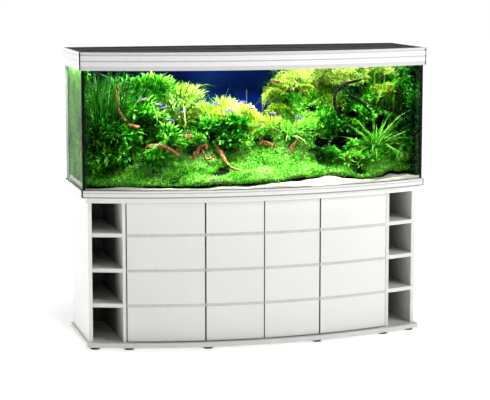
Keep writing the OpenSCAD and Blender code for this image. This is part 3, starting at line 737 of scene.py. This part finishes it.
def stems(foliage, xs, ys, zs, count, leaf_len, leaf_w, tint):
    """Upright stems set with small leaves all the way up."""
    for _ in range(count):
        x = rng.uniform(*xs)
        y = rng.uniform(*ys)
        low = zs[0] + rng.uniform(-0.03, 0.03)
        high = zs[1] + rng.uniform(-0.05, 0.02)
        n = int((high - low) / (leaf_len * 0.3))
        t = np.linspace(0, 1, n)
        lean = rng.normal(0, 0.08, 2)
        base = np.stack([x + lean[0] * t**2, y + lean[1] * t**2, low + (high - low) * t], -1)
        turn = np.arange(n) * 2.4 + rng.normal(0, 0.7, n)
        rise = rng.normal(0.35, 0.25, n)
        lengths = leaf_len * rng.uniform(0.7, 1.2, n) * (1.1 - 0.4 * t)
        droop = rng.normal(0.5, 0.2, n)
        shade = tint + 0.25 * t + rng.normal(0, 0.1, n)
        foliage.add(base, turn, rise, lengths, np.full(n, leaf_w), droop, shade)


# --- Ground --------------------------------------------------------------------------------

# Hills of soil and rock: x, y, height above the slope, half-widths in x and y
HILLS = [
    (-0.80, 0.12, 0.17, 0.16, 0.16), (-0.56, 0.10, 0.24, 0.18, 0.14), (-0.34, 0.14, 0.18, 0.16, 0.12),
    (-0.15, 0.05, 0.10, 0.14, 0.10), (0.12, 0.10, 0.15, 0.16, 0.12), (0.36, 0.12, 0.22, 0.18, 0.12),
    (0.58, 0.14, 0.26, 0.16, 0.12), (0.80, 0.14, 0.18, 0.14, 0.14), (0.62, -0.06, 0.08, 0.12, 0.09),
]
# Width of the sand in front of the plants: places along x, and the width at each
SAND_WIDTHS = ([-0.88, -0.5, -0.2, 0.05, 0.20, 0.38, 0.50, 0.62, 0.72, 0.88],
               [0.012, 0.018, 0.03, 0.05, 0.10, 0.11, 0.05, 0.05, 0.10, 0.08])
# Width of sand over which its dunes and its rise are full size
WIDE_SAND = 0.12
SAND_Z = 0.812
EDGE_TOP = 0.826
EDGE_WAVE = 0.004
SOIL_GAP = 0.003
SLOPE_RISE = 0.15
SLOPE_LENGTH = 0.45
GROUND_COLS = 300
SOIL_ROWS = 110
SAND_ROWS = 40
EDGE_COLS = 60


def ground(x, y):
    """Height of the planted ground: a slope up to the back with hills on it."""
    back = np.clip((y - glass_y(x)) / SLOPE_LENGTH, 0, 1)
    z = SAND_Z + SLOPE_RISE * back**1.1
    for hx, hy, h, sx, sy in HILLS:
        z = z + h * np.exp(-(((x - hx) / sx) ** 2) - ((y - hy) / sy) ** 2)
    points = np.stack([x.ravel(), y.ravel(), z.ravel()], -1)
    clods = lumps(points, 0.07, 21).reshape(x.shape) * 0.008
    crumbs = lumps(points, 0.03, 22).reshape(x.shape) * 0.004
    return z + (clods + crumbs) * np.clip(back * 4, 0.15, 1)


def sand_width(x):
    return np.interp(x, *SAND_WIDTHS)


def make_soil():
    u, v = np.meshgrid(np.linspace(-1, 1, GROUND_COLS), np.linspace(0, 1, SOIL_ROWS))
    x = u * (INNER_X - SIDE_GAP)
    front = glass_y(x) + SOIL_GAP
    start = front + sand_width(x) * 0.75
    y = start + (BACK_Y - SOIL_GAP - start) * v
    z = np.where(v == 0, FLOOR_Z + 0.004, ground(x, y))
    verts = np.stack([x, y, z], -1).reshape(-1, 3)
    soil = mesh_from("soil_slope", verts, [grid_faces(SOIL_ROWS, GROUND_COLS)])
    add_piece("soil_slope", soil, soil_material(), "pale_sand", "sand_bed")


def make_sand(mat):
    """Low dunes along the front pane, with a skirt down to the floor of the tank."""
    u, v = np.meshgrid(np.linspace(-1, 1, GROUND_COLS), np.linspace(0, 1, SAND_ROWS))
    x = u * (INNER_X - SIDE_GAP)
    front = glass_y(x) + 0.001
    y = front + (sand_width(x) + 0.03) * v
    points = np.stack([x.ravel(), y.ravel(), 0 * x.ravel()], -1)
    dune = lumps(points, 0.16, 31).reshape(x.shape) * 0.010
    dune = dune + lumps(points, 0.05, 32).reshape(x.shape) * 0.003
    z = SAND_Z + dune * (0.35 + sand_width(x) / WIDE_SAND) + 0.03 * v * sand_width(x) / WIDE_SAND
    verts = np.stack([x, y, z], -1).reshape(-1, 3)
    skirt = np.stack([x[0], y[0], np.full(GROUND_COLS, FLOOR_Z)], -1)
    sand = mesh_from("sand_strip", np.concatenate([skirt, verts]), [grid_faces(SAND_ROWS + 1, GROUND_COLS)])
    add_piece("sand_strip", sand, mat, "pale_sand")


def make_sand_edge(name, x_side, mat):
    """The layer of sand seen through a side pane."""
    y = np.linspace(glass_y(x_side) + SIDE_GAP, BACK_Y - SOIL_GAP, EDGE_COLS)
    x = np.full(EDGE_COLS, x_side)
    top = np.minimum(ground(x, y), EDGE_TOP + EDGE_WAVE * np.sin(y * 60))
    low_edge = np.stack([x, y, np.full(EDGE_COLS, FLOOR_Z + 0.0005)], -1)
    high_edge = np.stack([x, y, top], -1)
    edge = mesh_from(name, np.concatenate([low_edge, high_edge]), [grid_faces(2, EDGE_COLS)])
    add_piece(name, edge, mat, "pale_sand")


def make_ground(sand_finish):
    make_soil()
    make_sand(sand_finish)
    make_sand_edge("sand_edge_left", -INNER_X + 0.0015, sand_finish)
    make_sand_edge("sand_edge_right", INNER_X - 0.0015, sand_finish)


CARPET_THICK = 0.03
CARPET_RISE = 0.9


def carpet(foliage, xs, depth, count, length, width, tint, gaps):
    """Low plants on the ground between two distances behind the sand."""
    x = rng.uniform(*xs, count)
    y = glass_y(x) + 0.8 * sand_width(x) + rng.uniform(*depth, count)
    z = ground(x, y)
    points = np.stack([x, y, z], -1)
    pillow = lumps(points, 0.10, 5)
    kept = pillow > gaps - 1 + rng.normal(0, 0.1, count)
    points, pillow = points[kept], pillow[kept]
    n = len(points)
    layer = rng.uniform(0, 1, n) ** 0.7
    points[:, 2] += CARPET_THICK * (0.6 + 0.4 * pillow) * layer
    turn = rng.uniform(0, 2 * math.pi, n)
    rise = CARPET_RISE + rng.normal(0, 0.4, n)
    lengths = length * rng.uniform(0.7, 1.3, n)
    droop = rng.normal(0.6, 0.3, n)
    # Painted shade: leaves low in the layer and near bare patches darker, the top of the layer lighter
    shade = tint + 0.18 * pillow + 0.25 * (layer - 0.6) + rng.normal(0, 0.2, n)
    foliage.add(points, turn, rise, lengths, np.full(n, width), droop, shade)


# --- Wood ----------------------------------------------------------------------------------

RING_SIDES = 9
STEPS_BETWEEN_POINTS = 9
THINNEST = 0.0008
KNOT_SIZE = 0.02
KNOT_SHARE = 0.34


def limb(points, slim, seed):
    """Knotty branch along points of (x, y, z, radius), its radius scaled by slim."""
    points = np.array(points, float)
    n = len(points)
    t = np.linspace(0, n - 1, (n - 1) * STEPS_BETWEEN_POINTS + 1)
    i = np.clip(t.astype(int), 0, n - 2)
    f = (t - i)[:, None]
    before, after = points[np.clip(i - 1, 0, n - 1)], points[np.clip(i + 2, 0, n - 1)]
    a, b = points[i], points[i + 1]
    line = 0.5 * (2 * a + (b - before) * f + (2 * before - 5 * a + 4 * b - after) * f**2
                  + (3 * a - before - 3 * b + after) * f**3)
    centre, radius = line[:, :3], np.maximum(line[:, 3] * slim, THINNEST)
    way = np.gradient(centre, axis=0)
    way /= np.linalg.norm(way, axis=1)[:, None]
    side = np.cross(way, [0.3, 0.9, 0.31])
    side /= np.linalg.norm(side, axis=1)[:, None]
    top = np.cross(way, side)
    angle = np.linspace(0, 2 * math.pi, RING_SIDES, endpoint=False)
    ring = side[:, None] * np.cos(angle)[:, None] + top[:, None] * np.sin(angle)[:, None]
    verts = centre[:, None] + ring * radius[:, None, None]
    knots = lumps(verts.reshape(-1, 3), KNOT_SIZE, seed).reshape(len(centre), RING_SIDES)
    knots = 1 + KNOT_SHARE * knots
    verts = centre[:, None] + ring * (radius[:, None] * knots)[..., None]
    return verts.reshape(-1, 3), grid_faces(len(centre), RING_SIDES, wrap=True)


# Branches of the pale bog wood: points of x, y, z and radius
PALE_BRANCHES = [
    [(-0.69, -0.06, 1.32, 0.004), (-0.695, -0.06, 1.25, 0.008), (-0.69, -0.07, 1.19, 0.010),
     (-0.65, -0.08, 1.12, 0.012), (-0.59, -0.09, 1.10, 0.011)],
    [(-0.58, -0.10, 0.98, 0.010), (-0.55, -0.12, 1.00, 0.012), (-0.49, -0.14, 1.01, 0.012),
     (-0.44, -0.15, 0.985, 0.010), (-0.40, -0.16, 0.955, 0.008)],
    [(-0.47, 0.0, 1.13, 0.005), (-0.43, -0.01, 1.10, 0.005), (-0.40, -0.02, 1.06, 0.004)],
    [(-0.33, 0.03, 1.29, 0.002), (-0.31, 0.04, 1.26, 0.004), (-0.30, 0.05, 1.21, 0.005)],
    [(-0.27, 0.03, 1.28, 0.002), (-0.30, 0.04, 1.25, 0.004), (-0.30, 0.05, 1.22, 0.005)],
    [(-0.41, -0.05, 0.93, 0.016), (-0.39, -0.06, 1.0, 0.018), (-0.33, -0.06, 1.045, 0.018),
     (-0.27, -0.06, 1.03, 0.016), (-0.24, -0.07, 0.98, 0.012)],
    [(-0.31, -0.08, 0.93, 0.016), (-0.295, -0.08, 0.97, 0.015), (-0.26, -0.08, 1.01, 0.012)],
    [(-0.27, -0.09, 0.98, 0.005), (-0.255, -0.11, 0.935, 0.006), (-0.23, -0.11, 0.935, 0.006),
     (-0.205, -0.11, 0.955, 0.004)],
    [(-0.20, -0.06, 1.0, 0.008), (-0.17, -0.08, 0.965, 0.011), (-0.15, -0.12, 0.91, 0.010),
     (-0.11, -0.16, 0.88, 0.008), (-0.04, -0.18, 0.87, 0.005)],
    [(-0.09, 0.05, 1.08, 0.004), (-0.02, 0.07, 1.115, 0.005), (0.04, 0.07, 1.13, 0.004),
     (0.10, 0.06, 1.12, 0.004), (0.12, 0.06, 1.08, 0.003)],
    [(0.0, 0.02, 1.03, 0.012), (0.03, 0.01, 1.06, 0.014), (0.08, 0.0, 1.08, 0.013),
     (0.13, 0.0, 1.06, 0.011), (0.18, 0.0, 1.03, 0.008)],
    [(0.05, -0.02, 1.0, 0.014), (0.10, -0.03, 0.99, 0.014), (0.14, -0.03, 0.965, 0.012)],
    [(0.15, 0.12, 1.305, 0.006), (0.22, 0.12, 1.29, 0.009), (0.29, 0.11, 1.265, 0.009),
     (0.36, 0.1, 1.235, 0.007)],
    [(0.25, -0.02, 1.09, 0.006), (0.25, -0.03, 1.05, 0.008), (0.25, -0.04, 1.01, 0.010),
     (0.215, -0.05, 0.97, 0.011), (0.215, -0.06, 0.91, 0.009)],
    [(0.30, -0.05, 0.94, 0.005), (0.26, -0.10, 0.90, 0.006), (0.21, -0.17, 0.84, 0.006)],
]
# Branches that are nearly black, in the same way
DARK_BRANCHES = [
    [(0.58, -0.08, 1.315, 0.008), (0.53, -0.08, 1.305, 0.012), (0.48, -0.08, 1.29, 0.014),
     (0.44, -0.08, 1.24, 0.013), (0.435, -0.09, 1.18, 0.012), (0.47, -0.09, 1.11, 0.012)],
    [(0.47, -0.09, 1.28, 0.01), (0.51, -0.1, 1.24, 0.01), (0.57, -0.11, 1.2, 0.009),
     (0.62, -0.11, 1.15, 0.008)],
    [(0.59, -0.1, 1.21, 0.004), (0.67, -0.11, 1.18, 0.006), (0.72, -0.11, 1.155, 0.006),
     (0.77, -0.11, 1.14, 0.005)],
    [(0.75, -0.1, 1.16, 0.004), (0.79, -0.1, 1.13, 0.006), (0.825, -0.09, 1.1, 0.006),
     (0.835, -0.09, 1.03, 0.005)],
    [(0.77, -0.09, 1.13, 0.005), (0.81, -0.08, 1.17, 0.005), (0.835, -0.07, 1.22, 0.003)],
]


def make_wood(name, branches, slim, mat, *stands_for):
    """One piece of all the branches, their radii scaled by slim."""
    verts = []
    faces = []
    total = 0
    for seed, branch in enumerate(branches):
        v, f = limb(branch, slim, seed)
        verts.append(v)
        faces.append(f + total)
        total += len(v)
    mesh = mesh_from(name, keep_inside(np.concatenate(verts)), [np.concatenate(faces)])
    add_piece(name, mesh, mat, "bog_wood", *stands_for)


# --- Planting ------------------------------------------------------------------------------

def thicket(foliage, low, high, clumps, radius, leaves, length, width, tint, **look):
    """Many small bushes of one species scattered through a box."""
    for _ in range(clumps):
        size = radius * rng.uniform(0.7, 1.35)
        centre = rng.uniform(low, high)
        shade = tint + rng.normal(0, 0.1)
        bush(foliage, centre, (size, size * 0.8, size * 0.75), leaves, length, width, shade, **look)


def thickets(foliage, rows, **look):
    """One thicket for each row of a table."""
    for row in rows:
        thicket(foliage, *row, **look)


# Tables of thickets: low and high corner, clumps, their radius, leaves in each, leaf length and
# width, and tint
LANCE_LEFT = [
    ((-0.84, -0.08, 0.90), (-0.66, 0.02, 1.12), 12, 0.075, 330, 0.052, 0.013, 0.45),
    ((-0.68, -0.06, 1.02), (-0.48, 0.06, 1.19), 12, 0.075, 330, 0.054, 0.013, 0.55),
    ((-0.70, -0.12, 0.90), (-0.46, -0.04, 1.04), 12, 0.065, 300, 0.050, 0.013, 0.55),
    ((-0.86, -0.11, 0.83), (-0.62, -0.10, 0.88), 8, 0.05, 300, 0.040, 0.010, 0.3),
    ((-0.66, 0.04, 1.14), (-0.40, 0.12, 1.28), 12, 0.07, 300, 0.044, 0.010, 0.32),
]
LANCE_MIDDLE = [((-0.28, -0.06, 0.97), (-0.06, 0.0, 1.10), 12, 0.06, 260, 0.042, 0.0115, 0.42)]
LANCE_RIGHT = [
    ((0.50, -0.13, 0.87), (0.74, -0.06, 0.96), 11, 0.05, 300, 0.034, 0.009, 0.55),
    ((0.42, 0.0, 0.98), (0.86, 0.12, 1.26), 18, 0.07, 280, 0.038, 0.009, 0.22),
    ((0.28, -0.03, 1.0), (0.46, 0.08, 1.12), 9, 0.06, 300, 0.030, 0.009, 0.6),
    ((0.38, -0.04, 1.0), (0.58, 0.04, 1.12), 8, 0.06, 300, 0.036, 0.010, 0.35),
]
MOSS = [
    ((-0.44, 0.04, 1.10), (-0.30, 0.12, 1.22), 9, 0.06, 1500, 0.015, 0.006, 0.5),
    ((-0.32, 0.03, 1.06), (-0.08, 0.12, 1.15), 12, 0.055, 1400, 0.015, 0.006, 0.5),
    ((-0.12, 0.03, 1.06), (0.06, 0.10, 1.14), 8, 0.05, 1100, 0.015, 0.006, 0.45),
    ((0.70, 0.03, 1.20), (0.84, 0.08, 1.26), 6, 0.045, 1000, 0.013, 0.005, 0.5),
    ((0.16, 0.06, 1.10), (0.46, 0.12, 1.22), 16, 0.055, 1200, 0.018, 0.006, 0.4),
]
NEEDLES = [
    ((-0.50, 0.03, 1.12), (-0.32, 0.12, 1.26), 12, 0.06, 330, 0.060, 0.0030, 0.38),
    ((-0.32, 0.03, 1.07), (-0.06, 0.10, 1.16), 15, 0.055, 330, 0.055, 0.0030, 0.5),
    ((-0.10, 0.0, 1.02), (0.16, 0.08, 1.12), 10, 0.05, 260, 0.050, 0.0030, 0.5),
    ((0.20, 0.10, 1.24), (0.86, 0.22, 1.35), 28, 0.06, 300, 0.050, 0.0030, 0.5),
    ((0.24, 0.0, 1.29), (0.80, 0.12, 1.36), 22, 0.05, 260, 0.045, 0.0030, 0.6),
]
NEEDLES_LOW_RIGHT = [((0.30, 0.02, 1.04), (0.86, 0.10, 1.24), 12, 0.06, 240, 0.045, 0.0030, 0.2)]
FERNS = [
    ((-0.30, -0.06, 0.94), (-0.04, 0.02, 1.10), 14, 0.05, 700, 0.022, 0.007, 0.4),
    ((0.30, -0.09, 0.88), (0.46, -0.05, 0.94), 9, 0.045, 800, 0.016, 0.006, 0.3),
    ((0.32, -0.12, 0.90), (0.42, -0.09, 0.94), 6, 0.045, 900, 0.016, 0.006, 0.15),
    ((0.22, 0.04, 1.08), (0.52, 0.12, 1.22), 14, 0.055, 700, 0.022, 0.007, 0.55),
    ((0.48, 0.0, 0.94), (0.86, 0.12, 1.34), 24, 0.06, 650, 0.020, 0.007, 0.2),
    ((-0.46, -0.08, 0.94), (-0.28, -0.02, 1.04), 9, 0.045, 600, 0.018, 0.006, 0.4),
    ((0.02, -0.04, 0.98), (0.24, 0.04, 1.06), 9, 0.045, 600, 0.018, 0.006, 0.5),
]

# Hedges against the side panes: low and high corner, leaves, leaf length and width, and tint
LANCE_HEDGES = [
    ((0.835, -0.15, 0.83), (0.876, 0.30, 1.385), 9000, 0.034, 0.009, 0.28),
    ((-0.872, -0.06, 0.83), (-0.845, 0.31, 1.385), 5000, 0.044, 0.011, 0.5),
]
FERN_HEDGES = [
    ((0.868, -0.16, 0.815), (0.878, 0.31, 1.385), 8000, 0.030, 0.013, 0.2),
    ((0.845, -0.17, 0.815), (0.878, -0.06, 1.385), 3500, 0.030, 0.013, 0.2),
    ((-0.878, -0.17, 0.815), (-0.866, -0.10, 1.385), 1300, 0.030, 0.013, 0.3),
    ((-0.878, -0.10, 0.815), (-0.866, 0.31, 1.385), 8000, 0.030, 0.013, 0.97),
]

# Stretches of carpet: range of x, range behind the sand, leaves, leaf length and width, tint, and gaps
CARPETS = [
    ((-0.62, 0.34), (0.0, 0.28), 58000, 0.013, 0.0065, 0.55, 0.15),
    ((0.30, 0.62), (0.0, 0.16), 15000, 0.012, 0.006, 0.5, 0.3),
    ((0.60, 0.87), (0.0, 0.16), 15000, 0.014, 0.006, 0.5, 0.1),
    ((0.50, 0.875), (-0.02, 0.05), 9000, 0.014, 0.006, 0.45, 0.0),
    ((-0.875, -0.60), (-0.004, 0.12), 15000, 0.018, 0.008, 0.4, 0.1),
]

# Tufts: centre, radius of the root, blades, their length and width, lean, droop, and tint
SWORDS = [
    ((0.66, -0.07, 0.96), 0.03, 110, 0.24, 0.008, 1.1, 1.2, 0.6),
    ((0.21, 0.0, 1.02), 0.025, 110, 0.20, 0.0045, 1.0, 1.0, 0.75),
    ((-0.42, -0.04, 1.0), 0.02, 50, 0.13, 0.004, 1.1, 1.3, 0.7),
]


def plant_tall_grass():
    grass = Foliage(BLADE)
    for x in np.linspace(-0.86, -0.72, 8):
        tuft(grass, (x, 0.05 + rng.uniform(-0.04, 0.06), 0.96), 0.05, 120, 0.44, 0.006, 0.35, 0.5, 0.4)
    for x in np.linspace(-0.70, -0.36, 7):
        tuft(grass, (x, 0.12, 1.08), 0.05, 70, 0.30, 0.009, 0.7, 1.1, 0.45)
    for x, z in ((-0.72, 1.24), (-0.62, 1.22), (-0.54, 1.20), (-0.44, 1.22), (-0.36, 1.20)):
        tuft(grass, (x, 0.02, z), 0.03, 22, 0.22, 0.0040, 0.9, 2.4, 0.7)
    shades = [(4, 24, 4), (16, 72, 12), (54, 140, 30), (176, 228, 120)]
    grass.piece("tall_grass", leaf_material("tall_grass_leaf", shades, SHADOW))


def plant_lance_bushes():
    lance = Foliage(LANCE, side_gap=SIDE_GAP)
    thickets(lance, LANCE_LEFT, gaps=0.8, lump=0.07)
    thickets(lance, LANCE_MIDDLE, gaps=0.6, lump=0.06)
    thickets(lance, LANCE_RIGHT, gaps=0.8, lump=0.07)
    for row in LANCE_HEDGES:
        hedge(lance, *row)
    shades = [(3, 22, 3), (18, 104, 12), (62, 186, 26), (166, 244, 80)]
    lance.piece("lance_leaf_bushes", leaf_material("lance_leaf", shades, SHADOW), "planting")


def plant_moss():
    moss = Foliage(LEAFLET)
    thickets(moss, MOSS, gaps=0.35, lump=0.05)
    shades = [(44, 84, 10), (112, 160, 22), (176, 206, 44), (222, 232, 100)]
    moss.piece("moss_mounds", leaf_material("moss_leaf", shades, (0.35, 0.4, 0.3, 1), 0.5))


def plant_needles():
    needle = Foliage(BLADE)
    look = dict(gaps=0.5, lump=0.06, droop=1.3, rise=0.9)
    thickets(needle, NEEDLES, **look)
    for x, y in ((0.06, 0.22), (0.12, 0.18), (-0.10, 0.22)):
        tuft(needle, (x, y, 1.12), 0.03, 7, 0.20, 0.0025, 0.6, 0.9, 0.35)
    thickets(needle, NEEDLES_LOW_RIGHT, **look)
    shades = [(40, 84, 14), (112, 168, 34), (186, 214, 70), (238, 244, 160)]
    needle.piece("needle_grass", leaf_material("needle_leaf", shades, (0.4, 0.45, 0.3, 1), 0.45))


def plant_ferns():
    fern = Foliage(LEAFLET, side_gap=SIDE_GAP)
    thickets(fern, FERNS, gaps=0.7, lump=0.06)
    for row in FERN_HEDGES:
        hedge(fern, *row)
    shades = [(3, 22, 3), (16, 92, 12), (58, 170, 28), (156, 232, 80)]
    fern.piece("fern_bushes", leaf_material("fern_leaf", shades, SHADOW))


def plant_carpet():
    low = Foliage(LEAFLET, avoids_hollows=False, side_gap=SIDE_GAP)
    for row in CARPETS:
        carpet(low, *row)
    shades = [(16, 76, 6), (66, 164, 26), (134, 216, 66), (216, 250, 160)]
    low.piece("carpet_plants", leaf_material("carpet_leaf", shades, (0.3, 0.35, 0.25, 1), 0.4))


def plant_fine_stems():
    wisp = Foliage(LEAFLET)
    stems(wisp, xs=(0.20, 0.86), ys=(0.12, 0.28), zs=(1.12, 1.38), count=170, leaf_len=0.022,
          leaf_w=0.0045, tint=0.5)
    shades = [(50, 110, 24), (124, 182, 50), (190, 220, 96), (236, 246, 180)]
    wisp.piece("fine_stem_plants", leaf_material("fine_stem_leaf", shades, (0.5, 0.55, 0.45, 1), 0.45))


def plant_swords():
    sword = Foliage(BLADE)
    for row in SWORDS:
        tuft(sword, *row)
    for x in (0.70, 0.76, 0.82, 0.86):
        tuft(sword, (x, 0.10, 1.12), 0.04, 40, 0.26, 0.012, 0.4, 0.5, 0.5)
        tuft(sword, (x, -0.07, 0.87), 0.03, 70, 0.11, 0.004, 0.6, 0.7, 0.6)
    shades = [(8, 50, 6), (40, 132, 20), (112, 206, 50), (196, 242, 130)]
    sword.piece("sword_tufts", leaf_material("sword_leaf", shades, SHADOW))


def make_planting():
    plant_tall_grass()
    plant_lance_bushes()
    plant_moss()
    plant_needles()
    plant_ferns()
    plant_carpet()
    plant_fine_stems()
    plant_swords()


# --- Fish ----------------------------------------------------------------------------------

# Shoal: x, y, z of each fish, and whether it swims to the right (1) or the left (-1)
SHOAL = [
    (-0.57, -0.10, 1.24, 1), (-0.49, -0.08, 1.21, 1), (-0.46, -0.05, 1.19, -1), (-0.36, -0.06, 1.17, 1),
    (-0.43, -0.09, 1.13, 1), (-0.19, -0.05, 1.20, -1), (-0.12, -0.08, 1.17, 1), (-0.04, -0.04, 1.21, 1),
    (-0.01, -0.08, 1.18, -1), (0.11, -0.06, 1.15, 1), (0.24, -0.09, 1.13, 1),
]


FISH_LENGTH = 0.037
FISH_RINGS = 11
FISH_SIDES = 8


def fish_mesh(name, length=FISH_LENGTH):
    """Slim body of rings, with a forked tail and a back fin. V runs from belly to back."""
    t = np.linspace(0, 1, FISH_RINGS)
    high = 0.13 * length * np.sin(math.pi * np.clip(t * 0.94 + 0.04, 0, 1)) ** 0.7 + 0.0004
    angle = np.linspace(0, 2 * math.pi, FISH_SIDES, endpoint=False)
    x = np.repeat((t - 0.5) * length, FISH_SIDES)
    y = (0.55 * high[:, None] * np.cos(angle)).ravel()
    z = (high[:, None] * np.sin(angle)).ravel()
    body = np.stack([x, y, z], -1)
    h = 0.13 * length
    fins = np.array([(-0.48, 0, 0), (-0.72, 0, 1.1), (-0.62, 0, 0), (-0.72, 0, -1.1),
                     (0.05, 0, 0.9), (-0.12, 0, 1.9), (-0.18, 0, 0.8)]) * [length, 1, h]
    faces = [grid_faces(FISH_RINGS, FISH_SIDES, wrap=True)]
    k = len(body)
    tris = np.array([[k, k + 1, k + 2], [k, k + 2, k + 3], [k + 4, k + 5, k + 6]])
    verts = np.concatenate([body, fins])
    mesh = mesh_from(name, verts, faces + [tris])
    store_uv(mesh, verts[:, 0] / length + 0.5, np.clip(verts[:, 2] / h / 2 + 0.5, 0, 1))
    return mesh


def fish_material():
    """Red belly and flank, a bright blue stripe, and a dark back."""
    mat, nodes, links, shader = new_material("neon_stripe_fish")
    stored = stored_uv(nodes, links)
    stops = [(0.2, srgb(150, 40, 40)), (0.45, srgb(180, 24, 30)), (0.55, srgb(16, 80, 230)),
             (0.8, srgb(14, 50, 170)), (0.92, srgb(30, 50, 40))]
    links.new(ramp(nodes, links, stored["Y"], stops), shader.inputs["Base Color"])
    set_inputs(shader, {"Roughness": 0.4, "Specular IOR Level": 0.3})
    return mat


def make_fish():
    finish = fish_material()
    for number, (x, y, z, way) in enumerate(SHOAL):
        mesh = fish_mesh(f"neon_fish_{number + 1}")
        mesh.materials.append(finish)
        piece = into_scene(mesh.name, mesh)
        piece.location = (x, y, z)
        nod = rng.normal(0.12, 0.2)
        turn = rng.normal(0, 0.35) + (0 if way > 0 else math.pi)
        piece.rotation_euler = (0, nod, turn)
        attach(piece, TANK)


# --- Water ---------------------------------------------------------------------------------

WATER_COLS = 120
WATER_ROWS = 40
RIPPLE = 0.0012


def make_water():
    """Rippled surface just above the lower edge of the hood."""
    u, v = np.meshgrid(np.linspace(-1, 1, WATER_COLS), np.linspace(0, 1, WATER_ROWS))
    x = u * (INNER_X - 0.001)
    front = glass_y(x) + 0.001
    y = front + (BACK_Y - 0.001 - front) * v
    points = np.stack([x, y, np.full_like(x, WATER_Z)], -1).reshape(-1, 3)
    points[:, 2] += RIPPLE * lumps(points, 0.08, 41)
    mesh = mesh_from("water_surface", points, [grid_faces(WATER_ROWS, WATER_COLS)])
    skin = glass_material("water_skin", (0.97, 1.0, 0.99, 1), 0.8)
    add_piece("water_surface", mesh, skin, "clear_glass")


make_camera()
make_stage()
finishes = cad_materials()
dress_cad_nodes(finishes)
make_ground(finishes["pale_sand"])
make_wood("root_wood", PALE_BRANCHES, 0.85, finishes["bog_wood"], "driftwood")
black_wood = wood_material("black_wood_grain", srgb(3, 2, 2), srgb(7, 5, 4), srgb(18, 14, 12), 0.05)
make_wood("dark_root_wood", DARK_BRANCHES, 0.6, black_wood)
make_planting()
make_fish()
make_water()
